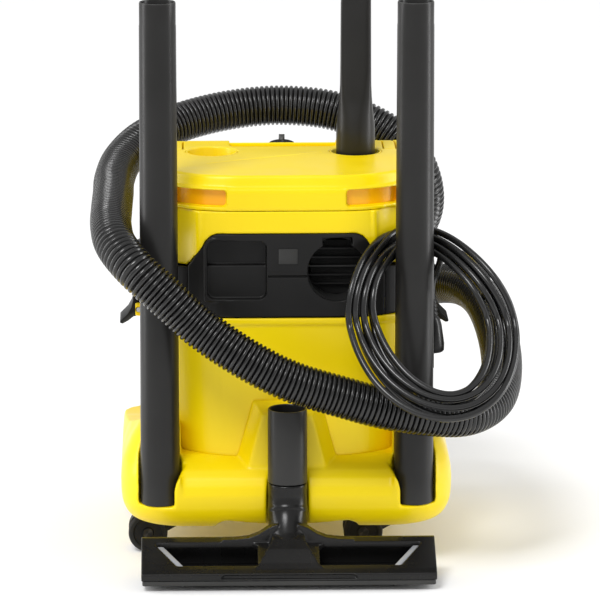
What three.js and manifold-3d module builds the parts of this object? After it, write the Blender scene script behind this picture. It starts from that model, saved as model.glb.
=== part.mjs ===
// A wet and dry shop vacuum on four swivel casters, with its accessories parked: two suction tubes and a floor
// nozzle stand on the chassis, a crevice nozzle stands in the head, and hose and mains cable are hung up.
// Millimetres, +Z up, -Y is the side that carries the parked tubes, +Y the side with the hose inlet.
import * as THREE from "three";
import { mergeVertices } from "three/addons/utils/BufferGeometryUtils.js";
import Module from "manifold-3d";

// ---- Driving dimensions ----
const GAP = 0.3; // left between pieces that rest on or fit into each other
const WALL = 3;

const CHASSIS = { halfWidth: 168, halfDepth: 165, radius: 60, under: 43, floor: 60, top: 142 };
const TUB = { halfWidth: 124, halfDepth: 129, radius: 75, top: 253, topScale: 1.1 };
const HEAD = { halfWidth: 145, halfDepth: 131, radius: 92 };
const HEAD_Z = { base: 249.8, plate: 262, shell: 300, hood: 358, deck: 393 };
const HEAD_RISE = 4; // the head is drawn on its own datum, this far above the chassis's
const RECESS = { left: 60, right: 112, bottom: 363, top: 379, depth: 8 };
const PANEL = { halfBottom: 99, halfTop: 78, top: 335, thick: 5 };
const POCKET = { left: -80, right: -20, bottom: 267, top: 328, depth: 17 };
const BLOWER = { x: 51, z: 296, radius: 30, keyHalf: 15, keyTop: 331, depth: 34 };

const TUBE = { x: 128, y: -140, bottom: 65, length: 511, lowRadius: 19.8, topRadius: 18.2, wall: 1.6 };
const FLOOR_NOZZLE = {
  halfWidth: 147, front: -245, back: -182, sole: 6, rim: 168, neckY: -165, neckRadius: 19.8,
};
const SOCKET = { x: 74, y: 13, radius: 24.5, bottom: 350 };
const CREVICE = { barrelRadius: 20, bladeHalf: 15.8, bladeDepth: 8, top: 571 };

const INLET = { z: 200, radius: 27, reach: 150 };
const HOSE = { radius: 21, connectorRadius: 23.5 };
const CABLE = { radius: 3.4, coilRadius: 8.5 };

const CASTER = { x: 110, y: 76, trail: 31, wheelRadius: 20, wheelWidth: 9, gauge: 12, axleRadius: 3 };
const LATCH = { pivotX: 149.5, pivotZ: 240, halfWidth: 22, inner: 146, pinRadius: 2.5 };

const FILTER = { radius: 62, bore: 40, bottom: 130, top: 258 };
const MOTOR = { y: 0, fanRadius: 60, rotorRadius: 25, shaftRadius: 4 };
const HANDLE = {
  pivotY: 30, pivotZ: 388.5, heel: 4, armX: 110, armHalf: 6, reach: 92, bar: 15, low: 385.4, high: 392.7,
};

// The whole machine is moved along Y so that the middle of its footprint is the origin.
const CONNECTOR_REACH = 199;
const AXIS_Y = (-FLOOR_NOZZLE.front - CONNECTOR_REACH) / 2;

const COLOURS = {
  yellow: { color: "#ffdc00", roughness: 0.38, metalness: 0 },
  black: { color: "#262626", roughness: 0.42, metalness: 0 },
  tube: { color: "#3c3c3b", roughness: 0.36, metalness: 0 },
  hose: { color: "#161616", roughness: 0.3, metalness: 0 },
  cable: { color: "#1c1c1c", roughness: 0.4, metalness: 0 },
  rubber: { color: "#202020", roughness: 0.75, metalness: 0 },
  grey: { color: "#5d5f61", roughness: 0.5, metalness: 0 },
  paper: { color: "#e8e2cf", roughness: 0.9, metalness: 0 },
  foam: { color: "#3a3a38", roughness: 1, metalness: 0 },
  steel: { color: "#b9bcc0", roughness: 0.3, metalness: 0.9 },
  white: { color: "#e9e9e6", roughness: 0.5, metalness: 0 },
};

// ---- Solids ----
const wasm = await Module();
wasm.setup();

function solid(geometry) {
  const bare = geometry.index ? geometry.toNonIndexed() : geometry.clone();
  bare.deleteAttribute("normal");
  bare.deleteAttribute("uv");
  const merged = mergeVertices(bare, 1e-3);
  const triVerts = new Uint32Array(merged.index.array);
  const vertProperties = new Float32Array(merged.attributes.position.array);
  const make = () => new wasm.Manifold(new wasm.Mesh({ numProp: 3, vertProperties, triVerts }));
  const made = make();
  if (made.volume() > 0) return made;
  for (let i = 0; i < triVerts.length; i += 3) {
    [triVerts[i + 1], triVerts[i + 2]] = [triVerts[i + 2], triVerts[i + 1]];
  }
  return make();
}

function geometryOf(made) {
  const { vertProperties, triVerts } = made.getMesh();
  const geometry = new THREE.BufferGeometry();
  geometry.setAttribute("position", new THREE.BufferAttribute(vertProperties, 3));
  geometry.setIndex(new THREE.BufferAttribute(triVerts, 1));
  const flat = geometry.toNonIndexed();
  flat.computeVertexNormals();
  return flat;
}

const join = (first, ...others) => others.reduce((whole, next) => whole.add(next), first);
const cut = (first, ...others) => others.reduce((whole, next) => whole.subtract(next), first);

function block(x, y, z) {
  const geometry = new THREE.BoxGeometry(x[1] - x[0], y[1] - y[0], z[1] - z[0]);
  geometry.translate((x[0] + x[1]) / 2, (y[0] + y[1]) / 2, (z[0] + z[1]) / 2);
  return solid(geometry);
}

// A round bar between two levels of one axis, centred on the other two coordinates in X, Y, Z order.
function bar(axis, centre, span, radius, sides = 24) {
  const geometry = new THREE.CylinderGeometry(radius, radius, span[1] - span[0], sides);
  const middle = (span[0] + span[1]) / 2;
  if (axis === "z") geometry.rotateX(Math.PI / 2).translate(centre[0], centre[1], middle);
  if (axis === "y") geometry.translate(centre[0], middle, centre[1]);
  if (axis === "x") geometry.rotateZ(Math.PI / 2).translate(middle, centre[0], centre[1]);
  return solid(geometry);
}

const ring = (axis, centre, span, outer, inner, sides = 24) =>
  cut(bar(axis, centre, span, outer, sides), bar(axis, centre, [span[0] - 1, span[1] + 1], inner, sides));

// A closed profile of [radius, z] points turned about an upright axis through x, y.
function turned(profile, x = 0, y = 0, sides = 24) {
  const points = [...profile, profile[0]].map(([radius, z]) => new THREE.Vector2(radius, z));
  const geometry = new THREE.LatheGeometry(points, sides);
  return solid(geometry.rotateX(Math.PI / 2).translate(x, y, 0));
}

function roundedRect(halfWidth, halfDepth, radius) {
  const shape = new THREE.Shape();
  const [w, d] = [halfWidth - radius, halfDepth - radius];
  shape.absarc(w, d, radius, 0, Math.PI / 2);
  shape.absarc(-w, d, radius, Math.PI / 2, Math.PI);
  shape.absarc(-w, -d, radius, Math.PI, 1.5 * Math.PI);
  shape.absarc(w, -d, radius, 1.5 * Math.PI, 2 * Math.PI);
  return shape;
}

function polygon(points) {
  return new THREE.Shape(points.map(([a, b]) => new THREE.Vector2(a, b)));
}

function prism(shape, z, curveSegments = 7) {
  const depth = z[1] - z[0];
  const geometry = new THREE.ExtrudeGeometry(shape, { depth, bevelEnabled: false, curveSegments });
  return solid(geometry.translate(0, 0, z[0]));
}

// A plan outline that is scaled differently at each [z, scale] level.
function drafted(shape, levels, curveSegments = 7) {
  const steps = levels.length - 1;
  const options = { depth: steps, steps, bevelEnabled: false, curveSegments };
  const geometry = new THREE.ExtrudeGeometry(shape, options);
  const place = geometry.attributes.position;
  for (let i = 0; i < place.count; i += 1) {
    const [z, scale] = levels[Math.round(place.getZ(i))];
    place.setXYZ(i, place.getX(i) * scale, place.getY(i) * scale, z);
  }
  return solid(geometry);
}

// An outline in the XZ plane, given thickness along Y.
function upright(shape, y, curveSegments = 8) {
  const depth = y[1] - y[0];
  const geometry = new THREE.ExtrudeGeometry(shape, { depth, bevelEnabled: false, curveSegments });
  return solid(geometry.rotateX(Math.PI / 2).translate(0, y[1], 0));
}

// An outline in the YZ plane, given thickness along X.
function sideways(shape, x) {
  const geometry = new THREE.ExtrudeGeometry(shape, { depth: x[1] - x[0], bevelEnabled: false });
  return solid(geometry.rotateX(Math.PI / 2).rotateZ(Math.PI / 2).translate(x[0], 0, 0));
}

function routeOf(points) {
  const places = points.map(([x, y, z]) => new THREE.Vector3(x, y, z));
  return new THREE.CatmullRomCurve3(places, false, "centripetal");
}

function swept(points, radius, sides, steps) {
  const section = new THREE.Shape();
  for (let i = 0; i < sides; i += 1) {
    const angle = (2 * Math.PI * i) / sides;
    const corner = [radius * Math.cos(angle), radius * Math.sin(angle)];
    if (i === 0) section.moveTo(...corner);
    else section.lineTo(...corner);
  }
  const extrudePath = routeOf(points);
  return solid(new THREE.ExtrudeGeometry(section, { steps, extrudePath, bevelEnabled: false }));
}

// ---- The object ----
const vacuum = new THREE.Group();
vacuum.position.set(0, AXIS_Y, 0);
const head = new THREE.Group();
head.position.set(0, 0, HEAD_RISE);
vacuum.add(head);

function piece(name, made, finish, owner = vacuum) {
  const mesh = new THREE.Mesh(geometryOf(made), new THREE.MeshStandardMaterial(COLOURS[finish]));
  mesh.name = name;
  owner.add(mesh);
}

const headPiece = (name, made, finish) => piece(name, made, finish, head);

const SIDES = [
  { side: "left", sign: -1 },
  { side: "right", sign: 1 },
];
const CORNERS = [
  { corner: "near_left", x: -CASTER.x, y: -CASTER.y },
  { corner: "near_right", x: CASTER.x, y: -CASTER.y },
  { corner: "far_left", x: -CASTER.x, y: CASTER.y },
  { corner: "far_right", x: CASTER.x, y: CASTER.y },
];

// ---- Tub and chassis ----
const tubOutline = (grow) => roundedRect(TUB.halfWidth + grow, TUB.halfDepth + grow, TUB.radius + grow);

// The tub widens upwards in X only, so its near face stays upright.
function tubBody(grow, bottom, top) {
  const options = { depth: 1, bevelEnabled: false, curveSegments: 7 };
  const geometry = new THREE.ExtrudeGeometry(tubOutline(grow), options);
  const place = geometry.attributes.position;
  for (let i = 0; i < place.count; i += 1) {
    const isTop = place.getZ(i) > 0.5;
    place.setXYZ(i, place.getX(i) * (isTop ? TUB.topScale : 1), place.getY(i), isTop ? top : bottom);
  }
  return solid(geometry);
}

function addTub() {
  const floor = CHASSIS.floor + GAP;
  let tub = cut(tubBody(0, floor, TUB.top), tubBody(-WALL, floor + 4, TUB.top + 1));
  const lugs = [];
  const holes = [];
  for (const { sign } of SIDES) {
    for (const y of [-26.5, 26.5]) {
      const reach = [133 * sign, 153 * sign].sort((a, b) => a - b);
      lugs.push(block(reach, [y - 2.5, y + 2.5], [233, 247]));
    }
    holes.push(bar("y", [LATCH.pivotX * sign, LATCH.pivotZ], [-40, 40], LATCH.pinRadius + 0.35, 16));
  }
  const inlet = bar("y", [0, INLET.z], [100, 160], INLET.radius + GAP);
  tub = cut(join(tub, ...lugs), inlet, ...holes);
  piece("container", tub, "yellow");

  const sealOuter = roundedRect(124, 120, 70);
  const sealInner = roundedRect(120, 116, 66);
  const bore = prism(sealInner, [TUB.top - 9, TUB.top + 4]);
  const seal = cut(prism(sealOuter, [TUB.top - 8, TUB.top + 3]), bore);
  const insideTub = tubBody(-WALL - GAP, CHASSIS.floor, TUB.top + 20);
  piece("container_seal", seal.intersect(insideTub), "rubber");
}

// A tube's pocket: round, with a slot to the near side that is narrower than the tube and flares upwards.
function tubePocket(sign) {
  const { x, y, bottom } = TUBE;
  const room = 21.8;
  const slot = upright(polygon([
    [(x - room + 9) * sign, bottom], [(x - room + 9) * sign, 84], [(x - room + 6) * sign, 92],
    [(x - room - 3) * sign, 102], [(x - room - 3) * sign, 220],
    [(x + room) * sign, 220], [(x + room) * sign, bottom],
  ]), [-220, y]);
  return join(bar("z", [x * sign, y], [bottom, 220], room), slot);
}

function addChassis() {
  const outline = roundedRect(CHASSIS.halfWidth, CHASSIS.halfDepth, CHASSIS.radius);
  const body = drafted(outline, [
    [CHASSIS.under, 0.93], [49, 0.965], [60, 0.992], [84, 1], [104, 0.985], [124, 0.94], [CHASSIS.top, 0.87],
  ]);
  const tubRoom = tubBody(GAP, CHASSIS.floor, TUB.top);
  // The near side falls from the tub in a rounded brow, and the sides get lower towards the far side.
  const brow = sideways(polygon([
    [-210, 70], [-166, 74], [-163, 86], [-157, 96], [-149, 104], [-139, 110], [-127, 113],
    [-127, 220], [-210, 220],
  ]), [-107, 107]);
  const farShelf = sideways(polygon([[210, 88], [127, 111], [127, 220], [210, 220]]), [-107, 107]);
  const fallingTop = sideways(polygon([
    [-100, CHASSIS.top + 1], [-60, 130], [0, 117], [80, 104], [230, 90], [230, 220], [-100, 220],
  ]), [-200, 200]);
  const underRoom = prism(roundedRect(148, 145, 60), [0, 52]);
  const arch = polygon([[-73, 0], [73, 0], [66, 50], [30, 46.5], [-30, 46.5], [-66, 50]]);
  const archway = upright(arch, [-220, -140]);
  // The pillar behind the floor nozzle's neck, with slanted flanks.
  const pillar = join(
    upright(polygon([[-46, 80], [46, 80], [26, 162], [-26, 162]]), [-147, -TUB.halfDepth - GAP]),
    upright(polygon([[-57, 80], [57, 80], [34, 168], [-34, 168]]), [-136, -TUB.halfDepth - GAP]),
  );
  const bosses = CORNERS.map(({ x, y }) => bar("z", [x, y], [45, 53], 12));
  const bores = CORNERS.map(({ x, y }) => bar("z", [x, y], [0, 58], 6.3));
  const neckRadius = FLOOR_NOZZLE.neckRadius + 1.4;
  const neckRoom = join(
    bar("z", [0, FLOOR_NOZZLE.neckY], [0, 220], neckRadius),
    block([-neckRadius, neckRadius], [-220, FLOOR_NOZZLE.neckY], [0, 220]),
  );
  const pockets = SIDES.map(({ sign }) => tubePocket(sign));
  let chassis = cut(body, tubRoom, brow, farShelf, fallingTop, underRoom, archway, ...pockets);
  chassis = cut(join(chassis, pillar, ...bosses), neckRoom, ...bores);
  piece("chassis", chassis, "yellow");
}

// ---- Casters: a twin-wheel set on one axle, trailing behind an upright stem ----
function addCasters() {
  for (const { corner, x, y } of CORNERS) {
    const wheelX = x - CASTER.trail;
    const stem = bar("z", [x, y], [40, 57], 5.8);
    const crown = bar("z", [x, y], [38.5, 44], 13);
    const fork = [
      [x + 8, 41], [x + 10, 30], [wheelX + 8, 12], [wheelX - 7, 13], [wheelX - 9, 26], [wheelX + 4, 41],
    ];
    const web = upright(polygon(fork), [y - 5.5, y + 5.5]);
    const axleHole = bar("y", [wheelX, CASTER.wheelRadius], [y - 20, y + 20], CASTER.axleRadius + 0.4, 16);
    piece(`caster_housing_${corner}`, cut(join(stem, crown, web), axleHole), "black");

    const half = CASTER.wheelWidth / 2;
    const centre = [wheelX, CASTER.wheelRadius];
    const discs = [-CASTER.gauge, CASTER.gauge].map((side) =>
      bar("y", centre, [y + side - half, y + side + half], CASTER.wheelRadius, 32));
    const axle = bar("y", centre, [y - CASTER.gauge, y + CASTER.gauge], CASTER.axleRadius, 16);
    piece(`caster_wheels_${corner}`, join(axle, ...discs), "rubber");
  }
}

// ---- Latches that clamp the head to the tub ----
function addLatches() {
  for (const { side, sign } of SIDES) {
    const flip = (points) => polygon(points.map(([x, z]) => [x * sign, z]));
    const clasp = upright(flip([
      [LATCH.inner, 247], [LATCH.inner, 296], [148, 299], [152, 299], [154, 290], [155, 248],
      [159, 238], [169, 226], [166, 224], [155, 232], [149.2, 233], [LATCH.inner + 0.5, 238],
    ]), [-LATCH.halfWidth, LATCH.halfWidth]);
    const pinHole = bar("y", [LATCH.pivotX * sign, LATCH.pivotZ], [-30, 30], LATCH.pinRadius + 0.35, 16);
    piece(`latch_${side}`, cut(clasp, pinHole), "black");
    piece(`latch_pin_${side}`,
      bar("y", [LATCH.pivotX * sign, LATCH.pivotZ], [-29, 29], LATCH.pinRadius, 16), "steel");
  }
}

// ---- Hose inlet on the far side, elbow, hose and its handle ----
const HOSE_ROUTE = [
  [48, 176, 200], [60, 176, 200], [88, 177, 203], [125, 168, 214], [163, 136, 230], [190, 90, 238],
  [208, 40, 233], [219, -15, 212], [221, -70, 185], [210, -122, 166], [180, -165, 160], [140, -189, 166],
  [95, -200, 176], [50, -206, 190], [0, -209, 207], [-45, -205, 230], [-86, -196, 257], [-120, -190, 287],
  [-151, -179, 314], [-170, -152, 332], [-176, -110, 343], [-176, -60, 351], [-175, -10, 357],
  [-174, 40, 364], [-166, 85, 375], [-145, 122, 389], [-108, 150, 402], [-55, 170, 412], [0, 176, 416],
  [55, 171, 411], [100, 160, 396], [134, 152, 372], [150, 156, 338], [152, 170, 304], [140, 188, 278],
  [110, 203, 264], [72, 208, 262], [44, 208, 262], [30, 208, 262],
];

function addHose() {
  const socket = join(
    ring("y", [0, INLET.z], [118, INLET.reach], INLET.radius, HOSE.connectorRadius + GAP, 32),
    ring("y", [0, INLET.z], [TUB.halfDepth + GAP, 134], 36, INLET.radius - 1, 32),
  );
  piece("inlet_socket", socket, "black");

  const elbow = swept([
    [0, 120, 200], [0, 136, 200], [0, 150, 200], [3, 162, 200], [12, 171.5, 200],
    [24, 175.6, 200], [36, 176, 200], [47.4, 176, 200],
  ], HOSE.connectorRadius - 0.6, 16, 16);
  piece("hose_connector", elbow, "black");
  piece("hose", swept(HOSE_ROUTE, HOSE.radius, 10, 64), "hose");

  const grip = swept([
    [29.4, 208, 262], [14, 208, 262], [-20, 208, 268], [-58, 205, 276], [-92, 203, 272], [-122, 201, 262],
    [-150, 199, 248],
  ], 20, 12, 14);
  piece("hose_handle", grip, "black");
}

// ---- Head housings ----
const headOutline = (grow) => roundedRect(HEAD.halfWidth + grow, HEAD.halfDepth + grow, HEAD.radius + grow);

// Gives a hollow housing an upright groove behind each parked tube, where the hung cable needs room.
function fluted(shell, radius, z) {
  const inside = prism(headOutline(0), z);
  const reach = [z[0] - 1, z[1] + 1];
  const walls = SIDES.map(({ sign }) =>
    bar("z", [TUBE.x * sign, TUBE.y], z, radius + WALL, 32).intersect(inside));
  const rooms = SIDES.map(({ sign }) => bar("z", [TUBE.x * sign, TUBE.y], reach, radius, 32));
  return cut(join(shell, ...walls), ...rooms);
}

function panelOutline(grow) {
  const [b, t, top] = [PANEL.halfBottom + grow, PANEL.halfTop + grow, PANEL.top + grow];
  const shape = new THREE.Shape();
  shape.moveTo(-b, 240);
  shape.lineTo(b, 240);
  shape.lineTo(b, HEAD_Z.shell);
  shape.lineTo(t + 6, top - 14);
  shape.quadraticCurveTo(t, top, t - 12, top);
  shape.lineTo(12 - t, top);
  shape.quadraticCurveTo(-t, top, -t - 6, top - 14);
  shape.lineTo(-b, HEAD_Z.shell);
  return shape;
}

function addHeadHousings() {
  const nearFace = -HEAD.halfDepth;
  const window = upright(panelOutline(GAP), [nearFace - 10, nearFace + 26]);

  const rim = prism(headOutline(0), [HEAD_Z.base, HEAD_Z.shell - GAP]);
  const skirt = cut(rim, prism(headOutline(-WALL), [0, 400]));
  const plate = prism(headOutline(-WALL + 0.5), [HEAD_Z.plate, HEAD_Z.plate + 4]);
  const airway = bar("z", [0, MOTOR.y], [200, 300], 32);
  const plateEdge = block([-110, 110], [nearFace - 5, nearFace + BLOWER.depth + 2], [240, 400]);
  headPiece("head_base", cut(join(skirt, cut(plate, plateEdge)), airway, window), "black");

  const hollow = prism(headOutline(-PANEL.thick), [0, 500]);
  const wrap = cut(prism(headOutline(0), [HEAD_Z.base + 0.5, 400]), hollow);
  const panelBody = upright(panelOutline(0), [nearFace - 1, nearFace + 25]).intersect(wrap);
  const pocketBack = nearFace + POCKET.depth;
  const pocketBox = block([POCKET.left - 2.5, POCKET.right + 2.5], [nearFace + 1, pocketBack + 2.5],
    [POCKET.bottom - 1, POCKET.top + 2.5]).intersect(upright(panelOutline(0), [nearFace, nearFace + 40]));
  const pocketRoom = block(
    [POCKET.left, POCKET.right], [nearFace - 5, pocketBack], [POCKET.bottom + 1, POCKET.top]);
  const portHole = bar("y", [BLOWER.x, BLOWER.z], [nearFace - 5, nearFace + 20], BLOWER.radius, 32);
  const keyWay = block([BLOWER.x - BLOWER.keyHalf, BLOWER.x + BLOWER.keyHalf], [nearFace - 5, nearFace + 20],
    [BLOWER.z, BLOWER.keyTop]);
  headPiece("rear_panel", cut(join(panelBody, pocketBox), pocketRoom, portHole, keyWay), "black");
  headPiece("nameplate_blank", block([-8, 11], [nearFace - 0.9, nearFace - GAP], [304.5, 320]), "grey");

  const portFront = nearFace + PANEL.thick + GAP;
  const portDeep = nearFace + BLOWER.depth;
  const port = [BLOWER.x, BLOWER.z];
  const liner = ring("y", port, [portFront, portDeep], BLOWER.radius + 1.5, BLOWER.radius - 0.5, 32);
  const behindPanel = prism(headOutline(-PANEL.thick - GAP), [240, 400]);
  headPiece("blower_port", liner.intersect(behindPanel), "black");
  const foam = block([BLOWER.x - 26, BLOWER.x + 26], [portDeep + GAP, -78], [HEAD_Z.plate + 5, 322]);
  headPiece("exhaust_foam", foam, "foam");

  const shellLevels = [[HEAD_Z.shell, 1], [320, 1.0], [HEAD_Z.hood - GAP, 0.985]];
  const shellInside = [[HEAD_Z.shell - 1, 0.978], [320, 0.978], [HEAD_Z.hood + 1, 0.963]];
  const shell = cut(drafted(headOutline(0), shellLevels), drafted(headOutline(0), shellInside));
  headPiece("head_shell", cut(fluted(shell, 41, [HEAD_Z.shell, HEAD_Z.hood - GAP]), window), "yellow");

  addHood();
}

function addHood() {
  const levels = [[HEAD_Z.hood, 0.985], [380, 0.98], [381, 0.95], [391, 0.925], [HEAD_Z.deck, 0.915]];
  const inside = [[HEAD_Z.hood - 1, 0.963], [378, 0.955], [HEAD_Z.deck - 12, 0.88]];
  const slope = [[74, 420], [74, HEAD_Z.deck], [140, 352], [200, 352], [200, 420]];
  const slopeCut = sideways(polygon(slope), [-200, 200]);
  const slopeUnder = sideways(
    polygon([[70, HEAD_Z.deck - 7], [125, 352], [200, 340], [200, 420], [70, 420]]), [-200, 200]);
  let hood = cut(drafted(headOutline(0), levels), slopeCut);
  hood = cut(hood, cut(drafted(headOutline(0), inside), slopeUnder));
  // Two recesses in the near face of the band. Their floor follows the outline and has a wall behind it.
  const floorWall = cut(
    prism(headOutline(-WALL), [RECESS.bottom - 3, RECESS.top + 3]),
    prism(headOutline(-RECESS.depth - WALL), [0, 400]),
  );
  const shallow = cut(prism(headOutline(3), [0, 420]), prism(headOutline(-RECESS.depth), [0, 420]));
  const recessBox = (sign, grow) => block(
    [(RECESS.left - grow) * sign, (RECESS.right + grow) * sign].sort((a, b) => a - b),
    [-140, -60],
    [RECESS.bottom - grow, RECESS.top + grow],
  );
  const recessWalls = SIDES.map(({ sign }) => floorWall.intersect(recessBox(sign, 2)));
  const recesses = SIDES.map(({ sign }) => shallow.intersect(recessBox(sign, 0)));
  const sockets = SIDES.map(({ sign }) =>
    bar("z", [SOCKET.x * sign, SOCKET.y], [340, 420], SOCKET.radius + 2 + GAP, 32));
  const handleRoom = handleBody(1.2, HANDLE.low - 0.7, 420);
  const fingerRoom = block([-55, 55], [40, HANDLE.reach - HANDLE.bar + 4], [HANDLE.low - 0.7, 420]);
  const knobRoom = bar("z", [0, 104], [300, 420], 8, 16);
  // The arms' heels turn in round rooms about the pivots.
  const heelRooms = SIDES.map(({ sign }) => {
    const span = [HANDLE.armX - HANDLE.armHalf - 1.2, HANDLE.armX + HANDLE.armHalf + 1.2];
    return bar("x", [HANDLE.pivotY, HANDLE.pivotZ], span.map((x) => x * sign).sort((a, b) => a - b), 6.4, 20);
  });
  hood = cut(join(fluted(hood, 38, [HEAD_Z.hood, 378]), ...recessWalls), ...recesses, ...sockets, handleRoom,
    fingerRoom, knobRoom, ...heelRooms);
  headPiece("head_hood", hood, "yellow");

  for (const { side, sign } of SIDES) {
    const r = SOCKET.radius;
    const cup = turned([
      [0, SOCKET.bottom], [0, SOCKET.bottom - 2], [r + 2, SOCKET.bottom - 2], [r + 2, HEAD_Z.deck - 0.5],
      [r, HEAD_Z.deck - 0.5], [r, SOCKET.bottom],
    ], SOCKET.x * sign, SOCKET.y, 32);
    headPiece(`accessory_cup_${side}`, cup, "yellow");
  }
  for (const [index, [x, y]] of [[-60, -60], [60, -60], [-60, 70], [60, 70]].entries()) {
    const screw = join(bar("z", [x, y], [255.5, 258.5], 4, 12), bar("z", [x, y], [258, 261.7], 2, 12));
    headPiece(`head_screw_${index + 1}`, screw, "steel");
  }
}

// ---- Carry handle: a flat bow that lies in the deck and swings up ----
function handleBody(grow, low, high) {
  const { armX, armHalf, pivotY, heel, reach, bar: width } = HANDLE;
  const outer = armX + armHalf + grow;
  const inner = armX - armHalf - grow;
  const shape = new THREE.Shape();
  shape.moveTo(-outer, pivotY - heel - grow);
  shape.lineTo(-outer, reach - 26);
  shape.quadraticCurveTo(-outer + 4, reach - 4 + grow, -outer + 34, reach + grow);
  shape.lineTo(outer - 34, reach + grow);
  shape.quadraticCurveTo(outer - 4, reach - 4 + grow, outer, reach - 26);
  shape.lineTo(outer, pivotY - heel - grow);
  shape.lineTo(inner, pivotY - heel - grow);
  shape.lineTo(inner, reach - width - 8 - grow);
  shape.lineTo(inner - 10, reach - width - grow);
  shape.lineTo(10 - inner, reach - width - grow);
  shape.lineTo(-inner, reach - width - 8 - grow);
  shape.lineTo(-inner, pivotY - heel - grow);
  return prism(shape, [low, high], 6);
}

function addHandle() {
  const flatBow = handleBody(0, HANDLE.low, HANDLE.high);
  const belowSlope = sideways(
    polygon([[0, 300], [0, 392.7], [74, 392.7], [140, 351.7], [200, 351.7], [200, 300]]), [-200, 200]);
  const pinHoles = SIDES.map(({ sign }) => {
    const span = [sign * 100, sign * 125].sort((a, b) => a - b);
    return bar("x", [HANDLE.pivotY, HANDLE.pivotZ], span, 2.4, 12);
  });
  headPiece("carry_handle", cut(flatBow.intersect(belowSlope), ...pinHoles), "yellow");
  for (const { side, sign } of SIDES) {
    const span = [sign * 103, sign * 116.8].sort((a, b) => a - b);
    headPiece(`handle_pin_${side}`, bar("x", [HANDLE.pivotY, HANDLE.pivotZ], span, 2, 12), "steel");
  }
}

// ---- Motor, fan and switch ----
function addMotor() {
  const at = [0, MOTOR.y];
  const low = HEAD_Z.plate + 4 + GAP;
  headPiece("motor_seal", ring("z", at, [low, low + 2], 56, 44, 32), "rubber");
  const can = cut(
    bar("z", at, [low + 2 + GAP, 294], MOTOR.fanRadius, 32),
    bar("z", at, [low + 4.5, 300], MOTOR.fanRadius - 2, 32),
    bar("z", at, [200, 290], 20),
  );
  headPiece("fan_housing", can, "grey");
  const hub = join(bar("z", at, [272, 273.5], 52, 32), bar("z", at, [272, 288], 9));
  const blades = [];
  for (let i = 0; i < 7; i += 1) {
    const blade = new THREE.BoxGeometry(40, 1.6, 13).translate(30, 0, 279.5).rotateZ((2 * Math.PI * i) / 7);
    blades.push(solid(blade));
  }
  const shaftRoom = bar("z", at, [260, 300], MOTOR.shaftRadius + GAP, 16);
  headPiece("impeller", cut(join(hub, ...blades), shaftRoom), "steel");
  const stator = ring("z", at, [294 + GAP, 336], MOTOR.fanRadius - 0.5, MOTOR.rotorRadius + 1.5, 32);
  headPiece("motor_stator", stator, "grey");
  const shaft = bar("z", at, [270, 342], MOTOR.shaftRadius, 16);
  headPiece("motor_rotor", join(shaft, bar("z", at, [298, 332], MOTOR.rotorRadius)), "steel");
}

// The switch knob turns on an axis square to the sloped face.
const SWITCH = { y: 108, z: 371.9, tilt: Math.atan2(41, 66) };
function tilted(made) {
  const geometry = geometryOf(made);
  return solid(geometry.rotateX(-SWITCH.tilt).translate(0, SWITCH.y, SWITCH.z));
}

function addSwitch() {
  const wheel = bar("z", [0, 0], [0.6, 12], 16, 24);
  const fin = block([-3, 3], [-15, 15], [11, 17]);
  const stalk = bar("z", [0, 0], [-6, 1], 4, 12);
  headPiece("switch_knob", tilted(join(wheel, fin, stalk)), "black");
}

// ---- Filter and float under the head ----
function addFilter() {
  const cageTop = HEAD_Z.plate - GAP;
  const wall = ring("z", [0, 0], [205, cageTop], 34, 31);
  const slots = [0, 1, 2, 3].map((turn) =>
    solid(new THREE.BoxGeometry(90, 12, 30).translate(0, 0, 232).rotateZ((turn * Math.PI) / 4)));
  const foot = bar("z", [0, 0], [203, 206], 34);
  headPiece("float_cage", join(cut(wall, ...slots), foot), "black");
  const floatProfile = [[0, 208], [18, 208], [26, 214], [26, 236], [20, 240], [0, 240]];
  headPiece("float", turned(floatProfile, 0, 0, 20), "white");
  const pleats = new THREE.Shape();
  const count = 24;
  for (let i = 0; i < 2 * count; i += 1) {
    const radius = i % 2 ? FILTER.radius - 5 : FILTER.radius;
    const angle = (Math.PI * i) / count;
    const corner = [radius * Math.cos(angle), radius * Math.sin(angle)];
    if (i === 0) pleats.moveTo(...corner);
    else pleats.lineTo(...corner);
  }
  const bore = bar("z", [0, 0], [0, 400], FILTER.bore);
  headPiece("cartridge_filter", cut(prism(pleats, [FILTER.bottom, FILTER.top]), bore), "paper");
  const lock = join(
    bar("z", [0, 0], [FILTER.bottom - 6, FILTER.bottom - GAP], FILTER.radius, 32),
    bar("z", [0, 0], [FILTER.bottom - 1, FILTER.bottom + 8], FILTER.bore - 1),
    block([-30, 30], [-4, 4], [FILTER.bottom - 14, FILTER.bottom - 5]),
  );
  headPiece("filter_lock", lock, "black");
}

// ---- Mains cable: gland, hook, lead, hung coil, tail and plug ----
// The coil hangs on the hook behind the right tube, runs round that tube and slants down to the near side.
const COIL = { centre: [143, -176, 258], across: [70, 8, 0], down: [16, -68, -72] };

// One turn: angle 0 is the top. The top is drawn in behind the tube, so it clears the head on both sides.
function coilPoint(angle) {
  const [sine, cosine] = [Math.sin(angle), Math.cos(angle)];
  const rise = [cosine, cosine > 0 ? cosine ** 3 : cosine, cosine];
  return COIL.centre.map((value, k) => value + COIL.across[k] * sine - COIL.down[k] * rise[k]);
}

const CABLE_LEAD = [
  [160.3, -46, 303], [172, -47, 303], [183, -58, 302], [189, -78, 301], [193, -100, 299], [198, -125, 296],
  [200, -140, 292],
];
const PLUG_AT = [148.5, -76];
const CABLE_TAIL = [
  [156, -96, 318], [157, -90, 306], [155, -84, 292], [150, -78, 278], [148.5, -76, 268], [148.5, -76, 260.3],
];

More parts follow.
